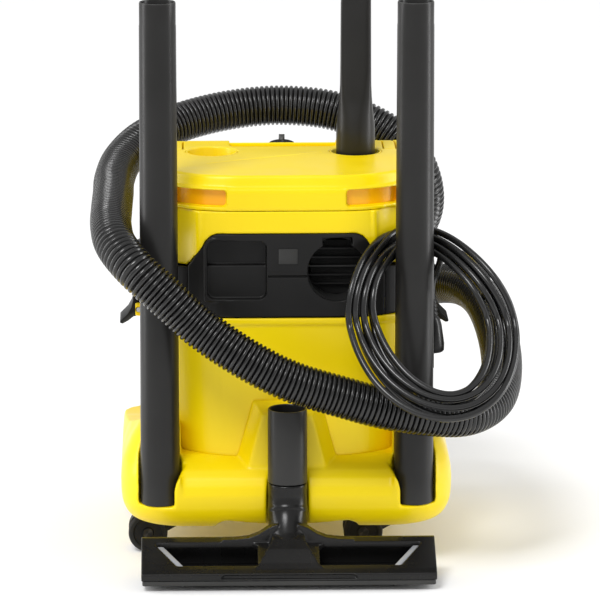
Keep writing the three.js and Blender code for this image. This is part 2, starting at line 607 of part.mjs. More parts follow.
function addCable() {
  const arm = cut(block([121, 135], [-119.6, -70], [308, 315]), prism(headOutline(GAP), [240, 400]));
  const tip = block([122, 133], [-119.6, -118.2], [312, 324]);
  piece("cable_hook", join(arm, tip), "black");
  const collar = bar("x", [-46, 303], [HEAD.halfWidth + GAP, 151], 8, 16);
  const gland = join(collar, bar("x", [-46, 303], [150, 160], 5, 16));
  piece("cable_gland", gland, "rubber");
  piece("cable_lead", swept(CABLE_LEAD, CABLE.radius, 8, 12), "cable");
  const turn = [];
  const start = 0.02;
  for (let i = 0; i <= 24; i += 1) turn.push(coilPoint(start + ((2 * Math.PI - 2 * start) * i) / 24));
  piece("cable_coil", swept(turn, CABLE.coilRadius, 8, 48), "cable");
  piece("cable_tail", swept(CABLE_TAIL, CABLE.radius, 8, 8), "cable");

  const [x, y] = PLUG_AT;
  const body = turned([[0, 206], [14, 206], [14, 214], [11, 236], [6, 240], [6, 260], [0, 260]], x, y, 20);
  const pins = [-9.5, 9.5].map((side) => bar("z", [x, y + side], [188, 207], 2.4, 12));
  piece("plug", join(body, ...pins), "black");
}

// ---- Parked suction tubes ----
function addTubes() {
  for (const { side, sign } of SIDES) {
    const { bottom, length, lowRadius: low, topRadius: high, wall } = TUBE;
    const [z0, z1] = [bottom + GAP, bottom + length];
    const profile = [
      [low - wall, z0], [low, z0], [low, z0 + 60], [high, z1], [high - wall, z1], [low - wall, z0 + 60],
    ];
    piece(`tube_${side}`, turned(profile, TUBE.x * sign, TUBE.y, 24), "tube");
  }
}

// ---- Crevice nozzle in the right cup ----
function addCreviceNozzle() {
  const [x, y] = [SOCKET.x, SOCKET.y];
  const { barrelRadius: r, bladeHalf, bladeDepth, top } = CREVICE;
  const barrel = bar("z", [x, y], [SOCKET.bottom + GAP, 425], r, 24);
  const shoulder = bar("z", [x, y], [424, 452], 17, 24);
  const blade = upright(
    polygon([
      [x - bladeHalf, 410], [x + bladeHalf, 410], [x + bladeHalf, top - 10], [x + bladeHalf - 3, top - 2],
      [x + bladeHalf - 9, top], [x - bladeHalf, top - 25],
    ]),
    [y - bladeDepth, y + bladeDepth],
  );
  const [slotHalf, slotDepth] = [bladeHalf - 2.5, bladeDepth - 2.5];
  const slot = block([x - slotHalf, x + slotHalf], [y - slotDepth, y + slotDepth], [400, 600]);
  const room = join(bar("z", [x, y], [340, 420], r - 2, 24), slot);
  headPiece("crevice_nozzle", cut(join(barrel, shoulder, blade), room), "tube");
}

// ---- Floor nozzle: neck, housing, sole and brush ----
function addFloorNozzle() {
  const { halfWidth: w, front, back, sole, rim, neckY, neckRadius: r } = FLOOR_NOZZLE;
  const crown = turned([[r - 2, 92.5], [r, 92.5], [r, rim], [r - 2, rim]], 0, neckY, 28);
  piece("nozzle_neck", crown, "tube");

  // The housing rises from a thin front lip to a thick back edge, and carries the lower neck.
  const wedge = sideways(polygon([
    [front, sole + 5], [front, sole + 12], [front + 7, sole + 15],
    [back - 4, 41], [back, 39], [back, sole + 5],
  ]), [-w, w]);
  const underRoom = sideways(polygon([
    [front + 4, sole - 5], [front + 4, sole + 9], [back - 4, 35], [back - 4, sole - 5],
  ]), [-w + 3, w - 3]);
  const windows = SIDES.map(({ sign }) => {
    const outline = [[32, -232], [111, -232], [133, -196], [34, -196]].map(([x, y]) => [x * sign, y]);
    return prism(polygon(outline), [sole + 8, 80]);
  });
  const bend = [[0, neckY, 76], [0, -172, 56], [0, -188, 36]];
  const lowNeck = swept([[0, neckY, 92], ...bend, [0, -203, 24]], r, 20, 10);
  const lowBore = swept([[0, neckY, 100], ...bend, [0, -206, 10]], r - 2.5, 16, 10);
  const gussetPlan = [[-31, -238], [31, -238], [20, -214], [18, back - 1], [-18, back - 1], [-20, -214]];
  const gusset = prism(polygon(gussetPlan), [sole + 12, 34]);
  const gussetProfile = [[-300, 0], [front + 4, sole + 14], [-205, 38], [-150, 60], [-150, 0]];
  const gussetTop = sideways(polygon(gussetProfile), [-60, 60]);
  const housing = cut(join(cut(wedge, underRoom, ...windows), gusset.intersect(gussetTop), lowNeck), lowBore);
  const keepAbove = block([-200, 200], [-300, 0], [sole + 5, 92]);
  piece("nozzle_housing", housing.intersect(keepAbove), "black");

  const plate = cut(
    block([-w + 1, w - 1], [front + 1, back - 1], [sole, sole + 5 - GAP]),
    block([-110, 110], [front + 12, front + 28], [0, 30]),
  );
  piece("nozzle_sole", plate, "grey");
  piece("nozzle_brush", block([-105, 105], [front + 14, front + 18], [1.5, sole + 8]), "black");
}

addTub();
addChassis();
addCasters();
addLatches();
addHose();
addHeadHousings();
addHandle();
addMotor();
addSwitch();
addFilter();
addCable();
addTubes();
addCreviceNozzle();
addFloorNozzle();

const group = new THREE.Group();
group.add(vacuum);
export default group;
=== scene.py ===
import math

import bmesh
import bpy
from mathutils import Matrix, Vector


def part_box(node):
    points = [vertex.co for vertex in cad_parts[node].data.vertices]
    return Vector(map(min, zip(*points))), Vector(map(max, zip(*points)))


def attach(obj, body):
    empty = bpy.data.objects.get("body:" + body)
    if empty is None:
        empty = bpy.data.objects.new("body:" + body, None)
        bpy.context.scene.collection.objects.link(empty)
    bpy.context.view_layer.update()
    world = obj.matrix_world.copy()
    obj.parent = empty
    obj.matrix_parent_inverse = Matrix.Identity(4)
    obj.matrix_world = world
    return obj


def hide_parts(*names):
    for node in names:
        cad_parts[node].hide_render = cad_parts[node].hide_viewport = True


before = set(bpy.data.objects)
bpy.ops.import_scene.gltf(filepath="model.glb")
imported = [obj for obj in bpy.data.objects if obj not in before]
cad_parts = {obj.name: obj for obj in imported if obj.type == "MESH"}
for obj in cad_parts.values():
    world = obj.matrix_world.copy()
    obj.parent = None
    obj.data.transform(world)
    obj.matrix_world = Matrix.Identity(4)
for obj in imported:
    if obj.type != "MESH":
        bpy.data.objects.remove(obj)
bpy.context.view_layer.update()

MM = 0.001
TUB_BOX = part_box("container")
AXIS_Y = (TUB_BOX[0].y + TUB_BOX[1].y) / 2

# ---- Sizes shared with the frame ----
GAP = 0.3
TUB = {"hw": 124, "hd": 129, "r": 75, "floor": 60.3, "top": 253, "widen": 1.1}
CHASSIS = {"hw": 168, "hd": 165, "r": 60, "under": 43, "top": 142}
HEAD = {"hw": 145, "hd": 131, "r": 92, "base": 249.8, "shell": 300, "hood": 358, "deck": 393}
TUBE = {"x": 128, "y": -140, "z0": 65.3, "z1": 576, "low": 19.8, "high": 18.2}
SOCKET = {"x": 74, "y": 13, "r": 24.5, "bottom": 350}
BLOWER = {"x": 51, "z": 296, "r": 30}
CASTERS = {
    "near_left": (-110, -76), "near_right": (110, -76), "far_left": (-110, 76), "far_right": (110, 76),
}
TRAIL = 31
WHEEL = 20
HEAD_RISE = 4
NOZZLE = {"hw": 147, "front": -245, "back": -182, "neck_y": -165, "neck_r": 19.8, "rim": 168}
HANDLE = {"outer": 116, "inner": 104, "reach": 92, "width": 15, "low": 385.4, "high": 392.7}
HANDLE_PIVOT = (30, 388.5)
LATCH_PIVOT = (149.5, 240)
INLET_Z = 200
GLAND_AT = (-46, 303)
SWITCH_AT = (0, 108, 371.9)
SLOPE_FALL = (41, 66)  # the switch's slope drops by the first over a run of the second
SIDES = (("left", -1), ("right", 1))


def place(x, y, z):
    """A point of the tables, in metres in the frame."""
    return Vector((x * MM, y * MM + AXIS_Y, z * MM))


# ---- Camera and light ----
AZIMUTH = math.radians(-1.41)
ELEVATION = math.radians(12.3)
DISTANCE = 5.0
LOOK_AT = place(16.6, 0, 243)
FOCAL_PIXELS = 4845
FRAME_PIXELS = 600
SENSOR = 36


def direction(azimuth, elevation):
    """The way from the object to a viewer or a lamp; azimuth 0 is the near side."""
    flat = math.cos(elevation)
    return Vector((math.sin(azimuth) * flat, -math.cos(azimuth) * flat, math.sin(elevation)))


def add_camera():
    back = direction(AZIMUTH, ELEVATION)
    data = bpy.data.cameras.new("camera")
    data.sensor_width = SENSOR
    data.lens = FOCAL_PIXELS / FRAME_PIXELS * SENSOR
    data.clip_end = 40
    camera = bpy.data.objects.new("camera", data)
    camera.location = LOOK_AT + back * DISTANCE
    camera.rotation_euler = back.to_track_quat("Z", "Y").to_euler()
    bpy.context.scene.collection.objects.link(camera)
    bpy.context.scene.camera = camera


KEY_STRENGTH = 1.7
KEY_SOFTNESS = math.radians(22)
KEY_AZIMUTH = math.radians(-28)
KEY_ELEVATION = math.radians(52)
WORLD_STRENGTH = 0.66


def add_area_light(name, where, target, size, power):
    data = bpy.data.lights.new(name, "AREA")
    data.shape = "RECTANGLE"
    data.size, data.size_y = size
    data.energy = power
    lamp = bpy.data.objects.new(name, data)
    lamp.location = Vector(where)
    lamp.rotation_euler = (Vector(where) - Vector(target)).to_track_quat("Z", "Y").to_euler()
    bpy.context.scene.collection.objects.link(lamp)


def add_key_light():
    """A broad soft sun from the upper left front, which gives ribs and edges their highlights."""
    data = bpy.data.lights.new("key", "SUN")
    data.energy = KEY_STRENGTH
    data.angle = KEY_SOFTNESS
    lamp = bpy.data.objects.new("key", data)
    towards = direction(KEY_AZIMUTH, KEY_ELEVATION)
    lamp.rotation_euler = towards.to_track_quat("Z", "Y").to_euler()
    bpy.context.scene.collection.objects.link(lamp)


def add_studio():
    scene = bpy.context.scene
    scene.view_settings.view_transform = "Standard"
    world = bpy.data.worlds.new("studio")
    world.use_nodes = True
    background = world.node_tree.nodes["Background"]
    background.inputs["Color"].default_value = (1, 1, 1, 1)
    background.inputs["Strength"].default_value = WORLD_STRENGTH
    scene.world = world
    middle = (0, 0, 0.3)
    add_area_light("side_left", (-1.5, 0.1, 0.7), middle, (0.35, 1.4), 9)
    add_area_light("side_right", (1.5, -0.1, 0.7), middle, (0.35, 1.4), 11)
    add_key_light()


# ---- Mesh helpers ----
def make_object(name, points, faces):
    mesh = bpy.data.meshes.new(name)
    mesh.from_pydata([place(*p) for p in points], [], faces)
    body = bmesh.new()
    body.from_mesh(mesh)
    bmesh.ops.recalc_face_normals(body, faces=body.faces)
    body.to_mesh(mesh)
    body.free()
    made = bpy.data.objects.new(name, mesh)
    bpy.context.scene.collection.objects.link(made)
    return made


def loft(name, rings, closed=False):
    """Skins rings of equally many points; the two ends are capped unless the rings close on themselves."""
    count = len(rings[0])
    points = [point for ring in rings for point in ring]
    faces = []
    spans = len(rings) if closed else len(rings) - 1
    for k in range(spans):
        for i in range(count):
            a, b = k * count + i, k * count + (i + 1) % count
            c, d = ((k + 1) % len(rings)) * count + (i + 1) % count, ((k + 1) % len(rings)) * count + i
            faces.append((a, b, c, d))
    if not closed:
        faces.append(tuple(reversed(range(count))))
        faces.append(tuple(range(len(points) - count, len(points))))
    return make_object(name, points, faces)


def turned(name, profile, x=0, y=0, sides=72):
    """A closed profile of (radius, z) turned about an upright axis."""
    rings = []
    for k in range(sides):
        angle = 2 * math.pi * k / sides
        rings.append([(x + r * math.cos(angle), y + r * math.sin(angle), z) for r, z in profile])
    return loft(name, rings, closed=True)


def arc(cx, cy, radius, start, stop, steps):
    angles = [math.radians(start + (stop - start) * k / steps) for k in range(steps + 1)]
    return [(cx + radius * math.cos(a), cy + radius * math.sin(a)) for a in angles]


def rounded_rect(hw, hd, r, steps=18, cx=0, cy=0):
    corners = ((hw - r, hd - r, 0), (r - hw, hd - r, 90), (r - hw, r - hd, 180), (hw - r, r - hd, 270))
    return [p for x, y, start in corners for p in arc(cx + x, cy + y, r, start, start + 90, steps)]


def circle(cx, cy, radius, sides=64):
    return arc(cx, cy, radius, 0, 360 - 360 / sides, sides - 1)


def prism(outline, z):
    return loft("tool", [[(x, y, level) for x, y in outline] for level in z])


def upright(outline, y):
    """An outline in the XZ plane, with thickness along Y."""
    return loft("tool", [[(x, level, z) for x, z in outline] for level in y])


def sideways(outline, x):
    """An outline in the YZ plane, with thickness along X."""
    return loft("tool", [[(level, y, z) for y, z in outline] for level in x])


def block(x, y, z):
    return prism([(x[0], y[0]), (x[1], y[0]), (x[1], y[1]), (x[0], y[1])], z)


def drafted(outline, levels):
    return loft("tool", [[(x * scale, y * scale, z) for x, y in outline] for z, scale in levels])


def bar_y(x, z, radius, y, sides=64):
    return upright(circle(x, z, radius, sides), y)


def bar_x(y, z, radius, x, sides):
    return sideways(circle(y, z, radius, sides), sorted(x))


def settle(thing):
    """Applies every modifier."""
    graph = bpy.context.evaluated_depsgraph_get()
    mesh = bpy.data.meshes.new_from_object(thing.evaluated_get(graph))
    thing.modifiers.clear()
    old = thing.data
    thing.data = mesh
    bpy.data.meshes.remove(old)
    return thing


def boolean(target, operation, tools):
    for tool in tools:
        step = target.modifiers.new("boolean", "BOOLEAN")
        step.operation = operation
        step.solver = "MANIFOLD"
        step.object = tool
    settle(target)
    for tool in tools:
        bpy.data.objects.remove(tool)
    return target


def cut(target, *tools):
    return boolean(target, "DIFFERENCE", tools)


def join(target, *tools):
    return boolean(target, "UNION", tools)


def common(target, *tools):
    return boolean(target, "INTERSECT", tools)


def soften(thing, voxel=1.4, passes=8):
    """Rebuilds the surface on a fine grid and relaxes it, so every edge gets a moulded radius."""
    grid = thing.modifiers.new("grid", "REMESH")
    grid.mode = "VOXEL"
    grid.voxel_size = voxel * MM
    grid.use_smooth_shade = True
    relax = thing.modifiers.new("relax", "SMOOTH")
    relax.factor = 0.5
    relax.iterations = passes
    return settle(thing)


def bevelled(thing, width=0.8, segments=3, angle=32):
    edge = thing.modifiers.new("edge", "BEVEL")
    edge.width = width * MM
    edge.segments = segments
    edge.limit_method = "ANGLE"
    edge.angle_limit = math.radians(angle)
    edge.harden_normals = True
    return settle(thing)


def smooth_shaded(thing, angle=35):
    thing.data.shade_smooth()
    thing.data.set_sharp_from_angle(angle=math.radians(angle))
    return thing


def copy_of_node(node, name):
    """A separate mesh of a CAD node's shape, with its flat faces joined up again."""
    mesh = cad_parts[node].data.copy()
    mesh.materials.clear()
    body = bmesh.new()
    body.from_mesh(mesh)
    bmesh.ops.remove_doubles(body, verts=body.verts, dist=1e-6)
    bmesh.ops.dissolve_limit(body, angle_limit=math.radians(0.5), verts=body.verts, edges=body.edges)
    body.to_mesh(mesh)
    body.free()
    for layer in list(mesh.attributes):
        if layer.name == "custom_normal":
            mesh.attributes.remove(layer)
    made = bpy.data.objects.new(name, mesh)
    bpy.context.scene.collection.objects.link(made)
    return made


RAISED_BODIES = {"head", "carry_handle", "switch_knob", "crevice_nozzle"}
ON_CHASSIS_LEVELS = {"mains_cable", "mains_plug", "strain_relief", "cable_hook_moulding"}


def finished(thing, name, body, slot, material, *nodes):
    """Names the piece and ties it to its body. The head's pieces are drawn on the head's own levels."""
    if body in RAISED_BODIES and name not in ON_CHASSIS_LEVELS:
        thing.data.transform(Matrix.Translation((0, 0, HEAD_RISE * MM)))
    thing.name = name
    thing.data.name = name
    thing.data.materials.clear()
    thing.data.materials.append(material)
    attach(thing, body)
    if nodes:
        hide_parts(*nodes)
    return thing


# ---- Curves that cords follow ----
def spline(points, per_span=12):
    """A centripetal Catmull-Rom curve through the points, as the frame's own route runs."""
    knots = [Vector(p) for p in points]
    knots = [2 * knots[0] - knots[1], *knots, 2 * knots[-1] - knots[-2]]
    line = []
    for p0, p1, p2, p3 in zip(knots, knots[1:], knots[2:], knots[3:]):
        d0, d1, d2 = (max(math.sqrt((b - a).length), 1e-6) for a, b in ((p0, p1), (p1, p2), (p2, p3)))
        m1 = ((p1 - p0) / d0 - (p2 - p0) / (d0 + d1) + (p2 - p1) / d1) * d1
        m2 = ((p2 - p1) / d1 - (p3 - p1) / (d1 + d2) + (p3 - p2) / d2) * d1
        for k in range(per_span):
            t = k / per_span
            h = (2 * t**3 - 3 * t * t + 1, t**3 - 2 * t * t + t, 3 * t * t - 2 * t**3, t**3 - t * t)
            line.append(p1 * h[0] + m1 * h[1] + p2 * h[2] + m2 * h[3])
    line.append(knots[-2])
    return line


def evenly(line, step):
    """The line's points at an even distance, and that line's length."""
    reach = [0.0]
    for a, b in zip(line, line[1:]):
        reach.append(reach[-1] + (b - a).length)
    count = max(2, round(reach[-1] / step))
    out, k = [], 0
    for i in range(count + 1):
        s = reach[-1] * i / count
        while k < len(line) - 2 and reach[k + 1] < s:
            k += 1
        span = max(reach[k + 1] - reach[k], 1e-9)
        out.append(line[k].lerp(line[k + 1], min(max((s - reach[k]) / span, 0), 1)))
    return out, reach[-1]


def tube_along(name, line, radius_at, sides):
    """A closed tube whose radius at each point of the line is radius_at(distance)."""
    rings = []
    normal = None
    travelled = 0.0
    for k, point in enumerate(line):
        ahead = line[min(k + 1, len(line) - 1)]
        behind = line[max(k - 1, 0)]
        tangent = (ahead - behind).normalized()
        if normal is None:
            normal = tangent.orthogonal().normalized()
        normal = (normal - tangent * normal.dot(tangent)).normalized()
        across = tangent.cross(normal)
        travelled += (point - behind).length
        radius = radius_at(travelled)
        ring = []
        for i in range(sides):
            angle = 2 * math.pi * i / sides
            ring.append(tuple(point + radius * (math.cos(angle) * normal + math.sin(angle) * across)))
        rings.append(ring)
    return loft(name, rings)


# ---- Materials ----
class Nodes:
    """Short calls for building one material's node tree."""

    def __init__(self, name):
        self.material = bpy.data.materials.new(name)
        self.material.use_nodes = True
        self.tree = self.material.node_tree
        self.shader = self.tree.nodes["Principled BSDF"]
        self.space = self.tree.nodes.new("ShaderNodeTexCoord").outputs["Object"]

    def noise(self, scale, detail=3, stretch=(1, 1, 1)):
        mapping = self.tree.nodes.new("ShaderNodeMapping")
        mapping.inputs["Scale"].default_value = stretch
        self.tree.links.new(self.space, mapping.inputs["Vector"])
        node = self.tree.nodes.new("ShaderNodeTexNoise")
        node.inputs["Scale"].default_value = scale
        node.inputs["Detail"].default_value = detail
        self.tree.links.new(mapping.outputs["Vector"], node.inputs["Vector"])
        return node.outputs["Fac"]

    def spread(self, value, low, high, span=(0.3, 0.7)):
        node = self.tree.nodes.new("ShaderNodeMapRange")
        node.inputs["From Min"].default_value, node.inputs["From Max"].default_value = span
        node.inputs["To Min"].default_value, node.inputs["To Max"].default_value = low, high
        self.tree.links.new(value, node.inputs["Value"])
        return node.outputs["Result"]

    def mix(self, factor, first, second):
        node = self.tree.nodes.new("ShaderNodeMix")
        node.data_type = "RGBA"
        self.tree.links.new(factor, node.inputs["Factor"])
        for socket, value in ((node.inputs[6], first), (node.inputs[7], second)):
            if isinstance(value, (tuple, list)):
                socket.default_value = (*value[:3], 1)
            else:
                self.tree.links.new(value, socket)
        return node.outputs[2]

    def edges(self, low, high):
        """0 on flats and in hollows, 1 on worn outer edges."""
        geometry = self.tree.nodes.new("ShaderNodeNewGeometry")
        return self.spread(geometry.outputs["Pointiness"], 0, 1, (low, high))

    def bump(self, height, strength, distance):
        node = self.tree.nodes.new("ShaderNodeBump")
        node.inputs["Strength"].default_value = strength
        node.inputs["Distance"].default_value = distance
        self.tree.links.new(height, node.inputs["Height"])
        previous = self.shader.inputs["Normal"].links
        if previous:
            self.tree.links.new(previous[0].from_socket, node.inputs["Normal"])
        self.tree.links.new(node.outputs["Normal"], self.shader.inputs["Normal"])

    def set(self, socket, value):
        if hasattr(value, "links") or hasattr(value, "is_output"):
            self.tree.links.new(value, self.shader.inputs[socket])
        else:
            self.shader.inputs[socket].default_value = value


def plastic(name, colour, lighter, rough, grain, depth, coat=0.0, wear=None, specular=0.5):
    """Moulded plastic: slow colour drift, a spark-eroded grain, uneven gloss and rubbed edges.

    grain is the texture's noise scale, depth its height in millimetres, and wear the colour of rubbed edges.
    """
    m = Nodes(name)
    tint = m.mix(m.spread(m.noise(9, 4), 0, 1), colour, lighter)
    if wear:
        rubbed = m.edges(0.535, 0.62)
        tint = m.mix(rubbed, tint, wear)
    m.set("Base Color", tint)
    m.set("Roughness", m.spread(m.noise(26, 5), rough[0], rough[1]))
    m.set("Specular IOR Level", specular)
    m.set("Coat Weight", coat)
    m.set("Coat Roughness", 0.12)
    m.bump(m.noise(grain, 2), 0.35, depth * MM)
    m.bump(m.noise(55, 2), 0.12, 0.12 * MM)
    return m.material


def make_materials():
    yellow = plastic("yellow_moulding", (0.95, 0.69, 0.0), (0.96, 0.73, 0.0), (0.28, 0.38), 1500, 0.02,
                     wear=(0.97, 0.77, 0.04), specular=0.35)
    black = plastic("black_moulding", (0.006, 0.006, 0.006), (0.012, 0.0115, 0.011), (0.34, 0.5), 1300, 0.04,
                    wear=(0.04, 0.04, 0.039), specular=0.22)
    gloss = plastic("black_gloss_moulding", (0.005, 0.005, 0.005), (0.011, 0.0105, 0.010), (0.2, 0.32), 900,
                    0.015, wear=(0.04, 0.04, 0.038), specular=0.3)
    tube = plastic("tube_plastic", (0.012, 0.0115, 0.011), (0.019, 0.0185, 0.018), (0.30, 0.38), 1100, 0.02,
                   wear=(0.06, 0.06, 0.058), specular=0.3)
    hose = plastic("hose_plastic", (0.004, 0.004, 0.004), (0.008, 0.008, 0.008), (0.17, 0.26), 700, 0.012,
                   wear=(0.10, 0.10, 0.098), specular=0.55)
    cable = plastic("cable_sheath", (0.005, 0.005, 0.005), (0.010, 0.010, 0.010), (0.2, 0.3), 1700, 0.012,
                    specular=0.55)
    rubber = plastic("black_rubber", (0.008, 0.0078, 0.0075), (0.018, 0.017, 0.016), (0.55, 0.75), 900, 0.06,
                     wear=(0.05, 0.047, 0.045), specular=0.25)
    grey = plastic("grey_moulding", (0.030, 0.030, 0.029), (0.042, 0.042, 0.040), (0.40, 0.52), 1200, 0.04,
                   specular=0.3)
    white = plastic("white_moulding", (0.78, 0.78, 0.75), (0.84, 0.84, 0.81), (0.35, 0.45), 1200, 0.03)
    # pale grey sheet for the nozzle windows' sloped ends: a painted highlight of the black frame's lit edge
    strip = plastic("painted_window_sheen", (0.30, 0.31, 0.33), (0.38, 0.39, 0.41), (0.35, 0.45), 1200, 0.03)
    # orange sheet for the band recesses: painted shade and reflected yellow light of the recess
    recess_shade = plastic("painted_recess_shade", (0.92, 0.38, 0.0), (0.95, 0.48, 0.0), (0.22, 0.34), 1300, 0.02,
                    specular=0.45)
    steel = Nodes("plated_steel")
    steel.set("Metallic", 1.0)
    steel.set("Base Color", steel.mix(steel.noise(40, 4), (0.52, 0.53, 0.54), (0.66, 0.66, 0.65)))
    steel.set("Roughness", steel.spread(steel.noise(300, 3, (1, 8, 1)), 0.22, 0.42))
    steel.bump(steel.noise(900, 2, (1, 10, 1)), 0.2, 0.02 * MM)
    paper = Nodes("filter_paper")
    paper.set("Base Color", paper.mix(paper.noise(60, 5), (0.62, 0.57, 0.46), (0.78, 0.74, 0.64)))
    paper.set("Roughness", 0.95)
    paper.bump(paper.noise(900, 4), 0.6, 0.1 * MM)
    foam = Nodes("open_foam")
    foam.set("Base Color", foam.mix(foam.noise(800, 3), (0.002, 0.002, 0.002), (0.012, 0.012, 0.011)))
    foam.set("Roughness", 1.0)
    foam.bump(foam.noise(700, 4), 1.0, 0.6 * MM)
    bristle = Nodes("bristle")
    strands = bristle.noise(900, 2, (1, 1, 0.05))
    bristle.set("Base Color", bristle.mix(strands, (0.006, 0.006, 0.006), (0.06, 0.06, 0.055)))
    bristle.set("Roughness", 0.6)
    bristle.bump(bristle.noise(900, 2, (1, 1, 0.05)), 1.0, 0.5 * MM)
    return {
        "yellow": yellow, "black": black, "gloss": gloss, "tube": tube, "hose": hose, "cable": cable,
        "rubber": rubber, "grey": grey, "white": white, "strip": strip, "recess_shade": recess_shade,
        "steel": steel.material, "paper": paper.material, "foam": foam.material, "bristle": bristle.material,
    }


# ---- Cords ----
HOSE_ROUTE = [
    (48, 176, 200), (60, 176, 200), (88, 177, 203), (125, 168, 214), (163, 136, 230), (190, 90, 238),
    (208, 40, 233), (219, -15, 212), (221, -70, 185), (210, -122, 166), (180, -165, 160), (140, -189, 166),
    (95, -200, 176), (50, -206, 190), (0, -209, 207), (-45, -205, 230), (-86, -196, 257), (-120, -190, 287),
    (-151, -179, 314), (-170, -152, 332), (-176, -110, 343), (-176, -60, 351), (-175, -10, 357),
    (-174, 40, 364), (-166, 85, 375), (-145, 122, 389), (-108, 150, 402), (-55, 170, 412), (0, 176, 416),
    (55, 171, 411), (100, 160, 396), (134, 152, 372), (150, 156, 338), (152, 170, 304), (140, 188, 278),
    (110, 203, 264), (72, 208, 262), (44, 208, 262), (30, 208, 262),
]
HOSE_RADIUS = 21
HOSE_GROOVE = 17.9
RIB_PITCH = 4.9
CUFF = 26
HOSE_STEP = RIB_PITCH / 8
HANDLE_PART = 142  # how much of the handle's route is the grip; the rest is its spigot

LEAD_ROUTE = [
    (160.3, -46, 303), (171, -47, 303), (183, -58, 302), (190, -78, 301), (194, -100, 299), (199, -124, 296),
    (202.5, -142, 291),
]
TAIL_ROUTE = [
    (140, -106, 329), (151, -99, 324), (157, -92, 312), (155, -84, 296), (150.5, -78, 282), (148.5, -76, 270),
    (148.5, -76, 259),
]
COIL = {"centre": Vector((143, -176, 258)), "across": Vector((70, 8, 0)), "down": Vector((16, -68, -72))}
TURNS = 7
# Each strand's place in the bundle: ranks outward in the loop's plane, and to either side of that plane.
LANES = [
    (-1.5, -0.5), (-1.5, 0.5), (-0.5, 0.5), (-0.5, -0.5), (0.5, -0.5), (0.5, 0.5), (1.5, 0.5), (1.5, -0.5),
]
STRAND = 7.0
CABLE_RADIUS = 3.4
POINTS_A_TURN = 48
LANE_CHANGE = 0.1  # share of a turn in which a strand moves to its next lane
LOOSENING = 0.42  # how much further apart the strands lie at the bottom than on the hook
SWAY = 2.2
CABLE_EASING = 12  # the cable's line is drawn again through points this far apart, which rounds its joins
CABLE_STEP = 3.0
COIL_START = math.radians(70)
COIL_END = math.radians(6)


def coil_point(angle):
    """The middle of the bundle; angle 0 is the top, which is drawn in behind the tube."""
    sine, cosine = math.sin(angle), math.cos(angle)
    drawn_in = cosine**3 if cosine > 0 else cosine
    down = COIL["down"]
    rise = Vector((down.x * cosine, down.y * drawn_in, down.z * cosine))
    return COIL["centre"] + COIL["across"] * sine - rise


def eased(t):
    t = min(max(t, 0), 1)
    return t * t * (3 - 2 * t)


def lane_at(turn):
    """The strand's place in the bundle; it moves on to the next lane as it passes the hook."""
    index = min(int(turn), len(LANES) - 2)
    share = eased((turn - index - 1 + LANE_CHANGE) / LANE_CHANGE)
    now, following = LANES[index], LANES[index + 1]
    return now[0] + (following[0] - now[0]) * share, now[1] + (following[1] - now[1]) * share


def coil_line():
    """The turns on the hook, each strand in its own lane of the bundle and looser towards the bottom."""
    line = []
    total = TURNS - (COIL_START - COIL_END) / (2 * math.pi)
    count = round(total * POINTS_A_TURN)
    for k in range(count + 1):
        travelled = total * k / count
        angle = COIL_START + 2 * math.pi * travelled
        turn = travelled + COIL_START / (2 * math.pi)
        rank, side = lane_at(turn)
        here = coil_point(angle)
        tangent = (coil_point(angle + 0.01) - coil_point(angle - 0.01)).normalized()
        outward = here - COIL["centre"]
        outward = (outward - tangent * outward.dot(tangent)).normalized()
        sidestep = tangent.cross(outward)
        loose = (1 - math.cos(angle)) / 2
        slack = 1 + LOOSENING * loose
        sway = loose * math.sin(2 * angle + 2.1 * int(turn)) * SWAY
        line.append(here + outward * (rank * STRAND * slack + sway) + sidestep * side * STRAND * slack)
    return line


def rib(distance):
    """The hose wall's radius: round ribs with narrow grooves between them."""
    phase = (distance / RIB_PITCH) % 1
    crest = math.sin(math.pi * phase)
    return HOSE_GROOVE + (HOSE_RADIUS - HOSE_GROOVE) * min(1, 1.18 * crest) ** 0.75


def add_hose(finish):
    line, length = evenly(spline(HOSE_ROUTE), HOSE_STEP)
    hose = tube_along("hose_ribbed", line, rib, 40)
    finished(smooth_shaded(hose, 80), "hose_ribbed", "container", "hose_plastic", finish["hose"], "hose")
    for name, start in (("hose_cuff_inlet", line), ("hose_cuff_handle", line[::-1])):
        part, _ = evenly(start[: round(CUFF / HOSE_STEP)], 1.0)
        cuff = tube_along(name, part, lambda s: 22.6 + 0.5 * math.cos(2 * math.pi * s / 6.5), 48)
        finished(smooth_shaded(cuff, 60), name, "container", "black_plastic", finish["black"])
    path = [place(*p) for p in evenly(spline(HOSE_ROUTE), 8)[0]]
    grip = add_hose_handle(finish)


GRIP_ROUTE = [
    (29.4, 208, 262), (14, 208, 262), (-20, 208, 268), (-58, 205, 276), (-92, 203, 272), (-122, 201, 262),
    (-150, 199, 248),
]


def add_hose_handle(finish):
    """The curved grip at the hose's end, with finger grooves, and the spigot that takes the tubes."""
    def radius(distance):
        swell = 19.4 + 0.6 * math.cos(distance / 190 * 2 * math.pi)
        return swell + (0.45 * math.sin(distance / 1.4) if 40 < distance < 105 else 0)

    line, _ = evenly(spline(GRIP_ROUTE), 1.0)
    grip = tube_along("hose_grip", line[:HANDLE_PART], radius, 48)
    finished(
        smooth_shaded(grip, 50), "hose_grip", "container", "black_plastic", finish["gloss"], "hose_handle")
    spigot = tube_along("hose_spigot", line[HANDLE_PART:], lambda s: 19.6 if s < 5 else 18.1 - s * 0.012, 64)
    bore_line = [line[-1] + (line[-1] - line[-2]) * 6, *line[:HANDLE_PART + 8:-4]]
    cut(spigot, tube_along("tool", bore_line, lambda s: 16.2, 40))
    finished(smooth_shaded(spigot, 40), "hose_spigot", "container", "black_plastic", finish["gloss"])
    return grip


